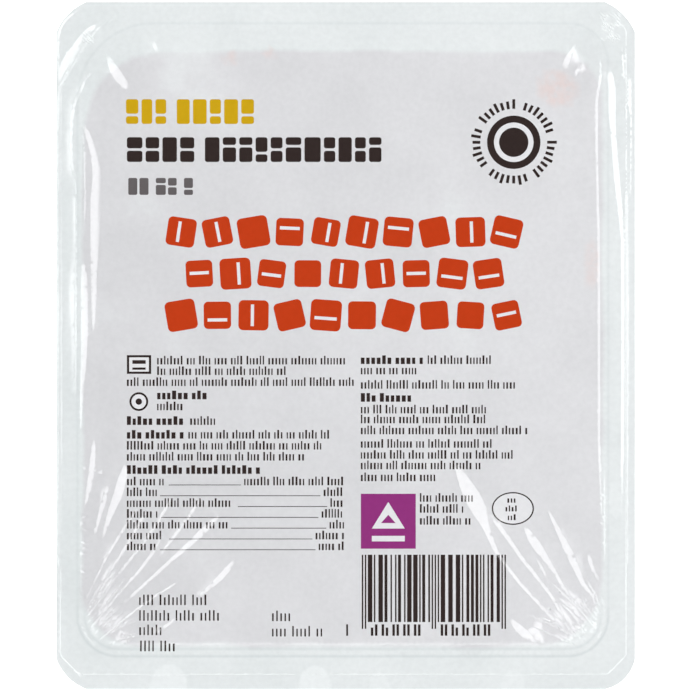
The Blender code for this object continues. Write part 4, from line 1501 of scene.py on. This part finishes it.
def film_material():
    """Glossy white printed film: lavender where it lies on the meat, bluer elsewhere, with fine mottling,
    painted shade towards the left and in lines at the lip, and a painted highlight on the blisters.
    """
    made = Nodes("printed_film")
    place = made.place()
    broad = made.noise(60.0, 3.0, place)
    fine = made.noise(900.0, 2.0, place)
    edge = made.math("MULTIPLY_ADD", broad, 1.6, made.attribute("contact"))
    lying = made.spread(edge, 1.0, 1.6, 0.0, 1.0)
    # Painted shade: the shade colours come in towards the left by the pressed value, and in random patches
    shade_share = made.spread(made.math("MULTIPLY_ADD", made.attribute("pressed"), 0.45, broad), 0.4, 0.9, 0.0, 1.0)
    contact = made.mix(shade_share, printed(CONTACT_COLOUR), printed(CONTACT_SHADE))
    seal = made.mix(shade_share, printed(SEAL_COLOUR), printed(SEAL_SHADE))
    white = made.mix(lying, seal, contact)
    # Painted shade: dark lines along the hollow's edge where the film bends over the tray's lip
    for middle, strength, foot_strength in LIP_SHADE_LINES:
        from_line = made.math("ABSOLUTE", made.math("SUBTRACT", made.attribute("depth"), middle))
        line = made.spread(from_line, 0.0, LIP_SHADE_WIDTH, 1.0, 0.0)
        strengths = made.spread(made.attribute("near_foot"), 0.0, 1.0, strength, foot_strength)
        white = made.mix(made.math("MULTIPLY", line, strengths), white, printed(LIP_SHADE_COLOUR))
    spots = made.spread(made.noise(600.0, 2.0, place), 0.3, 0.6, 0.25, 0.8)
    white = made.mix(made.math("MULTIPLY", made.attribute("over_meat"), spots), white, printed(TOUCH_COLOUR))
    # Painted highlight: the blisters where the film stands off the rim are made whiter
    white = made.mix(made.attribute("blister_highlight"), white, printed(BLISTER_HIGHLIGHT_COLOUR))
    grainy = made.add("ShaderNodeHueSaturation")
    colour = made.mix(made.attribute("ink", "Alpha"), white, made.attribute("ink", "Color"))
    made.link(colour, grainy.inputs["Color"])
    made.link(made.spread(fine, 0.3, 0.7, *FILM_GRAIN), grainy.inputs["Value"])
    made.link(grainy.outputs["Color"], made.shader.inputs["Base Color"])
    made.link(made.spread(fine, 0.2, 0.8, *FILM_ROUGHNESS), made.shader.inputs["Roughness"])
    made.set(Specular_IOR_Level=1.0, IOR=1.5, Coat_Weight=1.0, Coat_Roughness=0.14)
    return made.material


def tray_material():
    """Clear plastic that lets light through to the dice, with a faint blue green tint."""
    made = Nodes("clear_plastic")
    made.set(Base_Color=(*TRAY_TINT, 1.0), Transmission_Weight=1.0, IOR=1.45)
    haze = made.noise(300.0, 3.0, made.place())
    made.link(made.spread(haze, 0.3, 0.7, *TRAY_ROUGHNESS), made.shader.inputs["Roughness"])
    clear = made.add("ShaderNodeBsdfTransparent")
    clear.inputs["Color"].default_value = (*TRAY_SHADOW, 1.0)
    mixed = made.add("ShaderNodeMixShader")
    made.link(made.add("ShaderNodeLightPath").outputs["Is Shadow Ray"], mixed.inputs[0])
    made.link(made.shader.outputs[0], mixed.inputs[1])
    made.link(clear.outputs[0], mixed.inputs[2])
    made.link(mixed.outputs[0], made.output.inputs["Surface"])
    return made.material


# Meat: linear colours, and the pitch and wander of its layers of fat in millimetres
LEAN = (0.47, 0.075, 0.06)
DARK_LEAN = (0.27, 0.032, 0.026)
FAT = (0.84, 0.67, 0.53)
PINK_FAT = (0.74, 0.42, 0.33)
LAYER_PITCH = 7.5
LAYER_WANDER = 7.0
MARBLING_STRETCH = (0.25, 0.25, 0.7)


def bacon_material():
    """Cured meat: layers of lean and fat that run through each die, with marbling, fibres and a moist
    surface."""
    made = Nodes("bacon")
    grain = made.attribute("grain", "Vector")
    wander = made.noise(0.07, 2.0, grain)
    split = made.add("ShaderNodeSeparateXYZ")
    made.link(grain, split.inputs[0])
    layer = made.math("MULTIPLY_ADD", wander, LAYER_WANDER, split.outputs["Z"])
    wave_height = made.math("SINE", made.math("MULTIPLY", layer, 2 * math.pi / LAYER_PITCH))
    stretched = made.add("ShaderNodeVectorMath", operation="MULTIPLY")
    made.link(grain, stretched.inputs[0])
    stretched.inputs[1].default_value = MARBLING_STRETCH
    marbling = made.spread(made.noise(1.0, 3.0, stretched.outputs[0]), 0.6, 0.78, 0.0, 0.4)
    fat_share = made.math("MAXIMUM", made.spread(wave_height, 0.3, 0.6, 0.0, 1.0), marbling)
    fibre = made.noise(0.9, 3.0, grain)
    lean = made.mix(made.spread(fibre, 0.35, 0.7, 0.0, 1.0), LEAN, DARK_LEAN)
    fat = made.mix(made.spread(fibre, 0.3, 0.8, 0.0, 0.7), FAT, PINK_FAT)
    made.link(made.mix(fat_share, lean, fat), made.shader.inputs["Base Color"])
    made.link(made.spread(fibre, 0.3, 0.7, *MEAT_ROUGHNESS), made.shader.inputs["Roughness"])
    made.set(Subsurface_Weight=0.2, Subsurface_Scale=0.0015, Coat_Weight=0.4, Coat_Roughness=0.12)
    made.set(Subsurface_Radius=(1.0, 0.35, 0.25))
    made.bump(fibre, 0.4, 0.0004)
    return made.material


def backdrop_material():
    """Plain white ground that glows a little, so that it stays white under soft lights."""
    made = Nodes("backdrop")
    made.set(Base_Color=(0.8, 0.8, 0.8, 1.0), Roughness=0.9, Emission_Color=(1.0, 1.0, 1.0, 1.0))
    made.set(Emission_Strength=BACKDROP_GLOW)
    return made.material


# Studio


def make_backdrop():
    half = BACKDROP_SIZE / 2
    plan = ((-half, -half), (half, -half), (half, half), (-half, half))
    corners = [(x, y, BACKDROP_LEVEL) for x, y in plan]
    ground = make_object("backdrop", corners, [(0, 1, 2, 3)], backdrop_material())


def make_light(name, place, width, length, radiance):
    """A soft rectangular light that faces the pack's middle and isn't itself in view."""
    data = bpy.data.lights.new(name, "AREA")
    data.shape = "RECTANGLE"
    data.size = width * MM
    data.size_y = length * MM
    data.energy = radiance * data.size * data.size_y * math.pi
    light = bpy.data.objects.new(name, data)
    light.location = Vector(place) * MM
    across, along, height = place
    light.rotation_euler = (-math.atan2(along, height), math.atan2(across, height), 0.0)
    light.visible_camera = False
    bpy.context.scene.collection.objects.link(light)


def make_studio():
    """Even pale surroundings, a light at each side and the camera straight above the film."""
    world = bpy.data.worlds.new("surroundings")
    world.use_nodes = True
    tree = world.node_tree
    sky = tree.nodes["Background"]
    direction = tree.nodes.new("ShaderNodeTexCoord")
    split = tree.nodes.new("ShaderNodeSeparateXYZ")
    tree.links.new(direction.outputs["Generated"], split.inputs[0])
    fade = tree.nodes.new("ShaderNodeMapRange")
    tree.links.new(split.outputs["Z"], fade.inputs["Value"])
    for name, value in zip(("From Min", "From Max", "To Min", "To Max"), SKY_FADE + SKY_LEVELS):
        fade.inputs[name].default_value = value
    tree.links.new(fade.outputs["Result"], sky.inputs["Strength"])
    sky.inputs["Color"].default_value = (*SKY_COLOUR, 1.0)
    bpy.context.scene.world = world
    bpy.context.scene.view_settings.view_transform = "Standard"
    for name, (place, width, length, radiance) in LIGHTS.items():
        make_light(name, place, width, length, radiance)
    data = bpy.data.cameras.new("camera")
    data.sensor_width = SENSOR_WIDTH
    data.lens = SENSOR_WIDTH * CAMERA_HEIGHT / (PICTURE_PIXELS * PIXEL)
    data.clip_end = 100.0
    camera = bpy.data.objects.new("camera", data)
    shift_x = (PICTURE_PIXELS / 2 - PACK_MIDDLE_PIXEL[0]) * PIXEL
    shift_y = (PACK_MIDDLE_PIXEL[1] - PICTURE_PIXELS / 2) * PIXEL
    camera.location = Vector((shift_x, shift_y, FILM_TOP + CAMERA_HEIGHT)) * MM
    bpy.context.scene.collection.objects.link(camera)
    bpy.context.scene.camera = camera


def main():
    make_studio()
    make_backdrop()
    pieces = (
        (make_film(film_material()), "lid_film", "printed_film"),
        (make_tray(tray_material()), "tray", "clear_plastic"),
        (make_dice(bacon_material()), "bacon_dice", "bacon"),
    )
    for piece, node, slot in pieces:
        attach(piece, "root")
        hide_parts(node)


main()
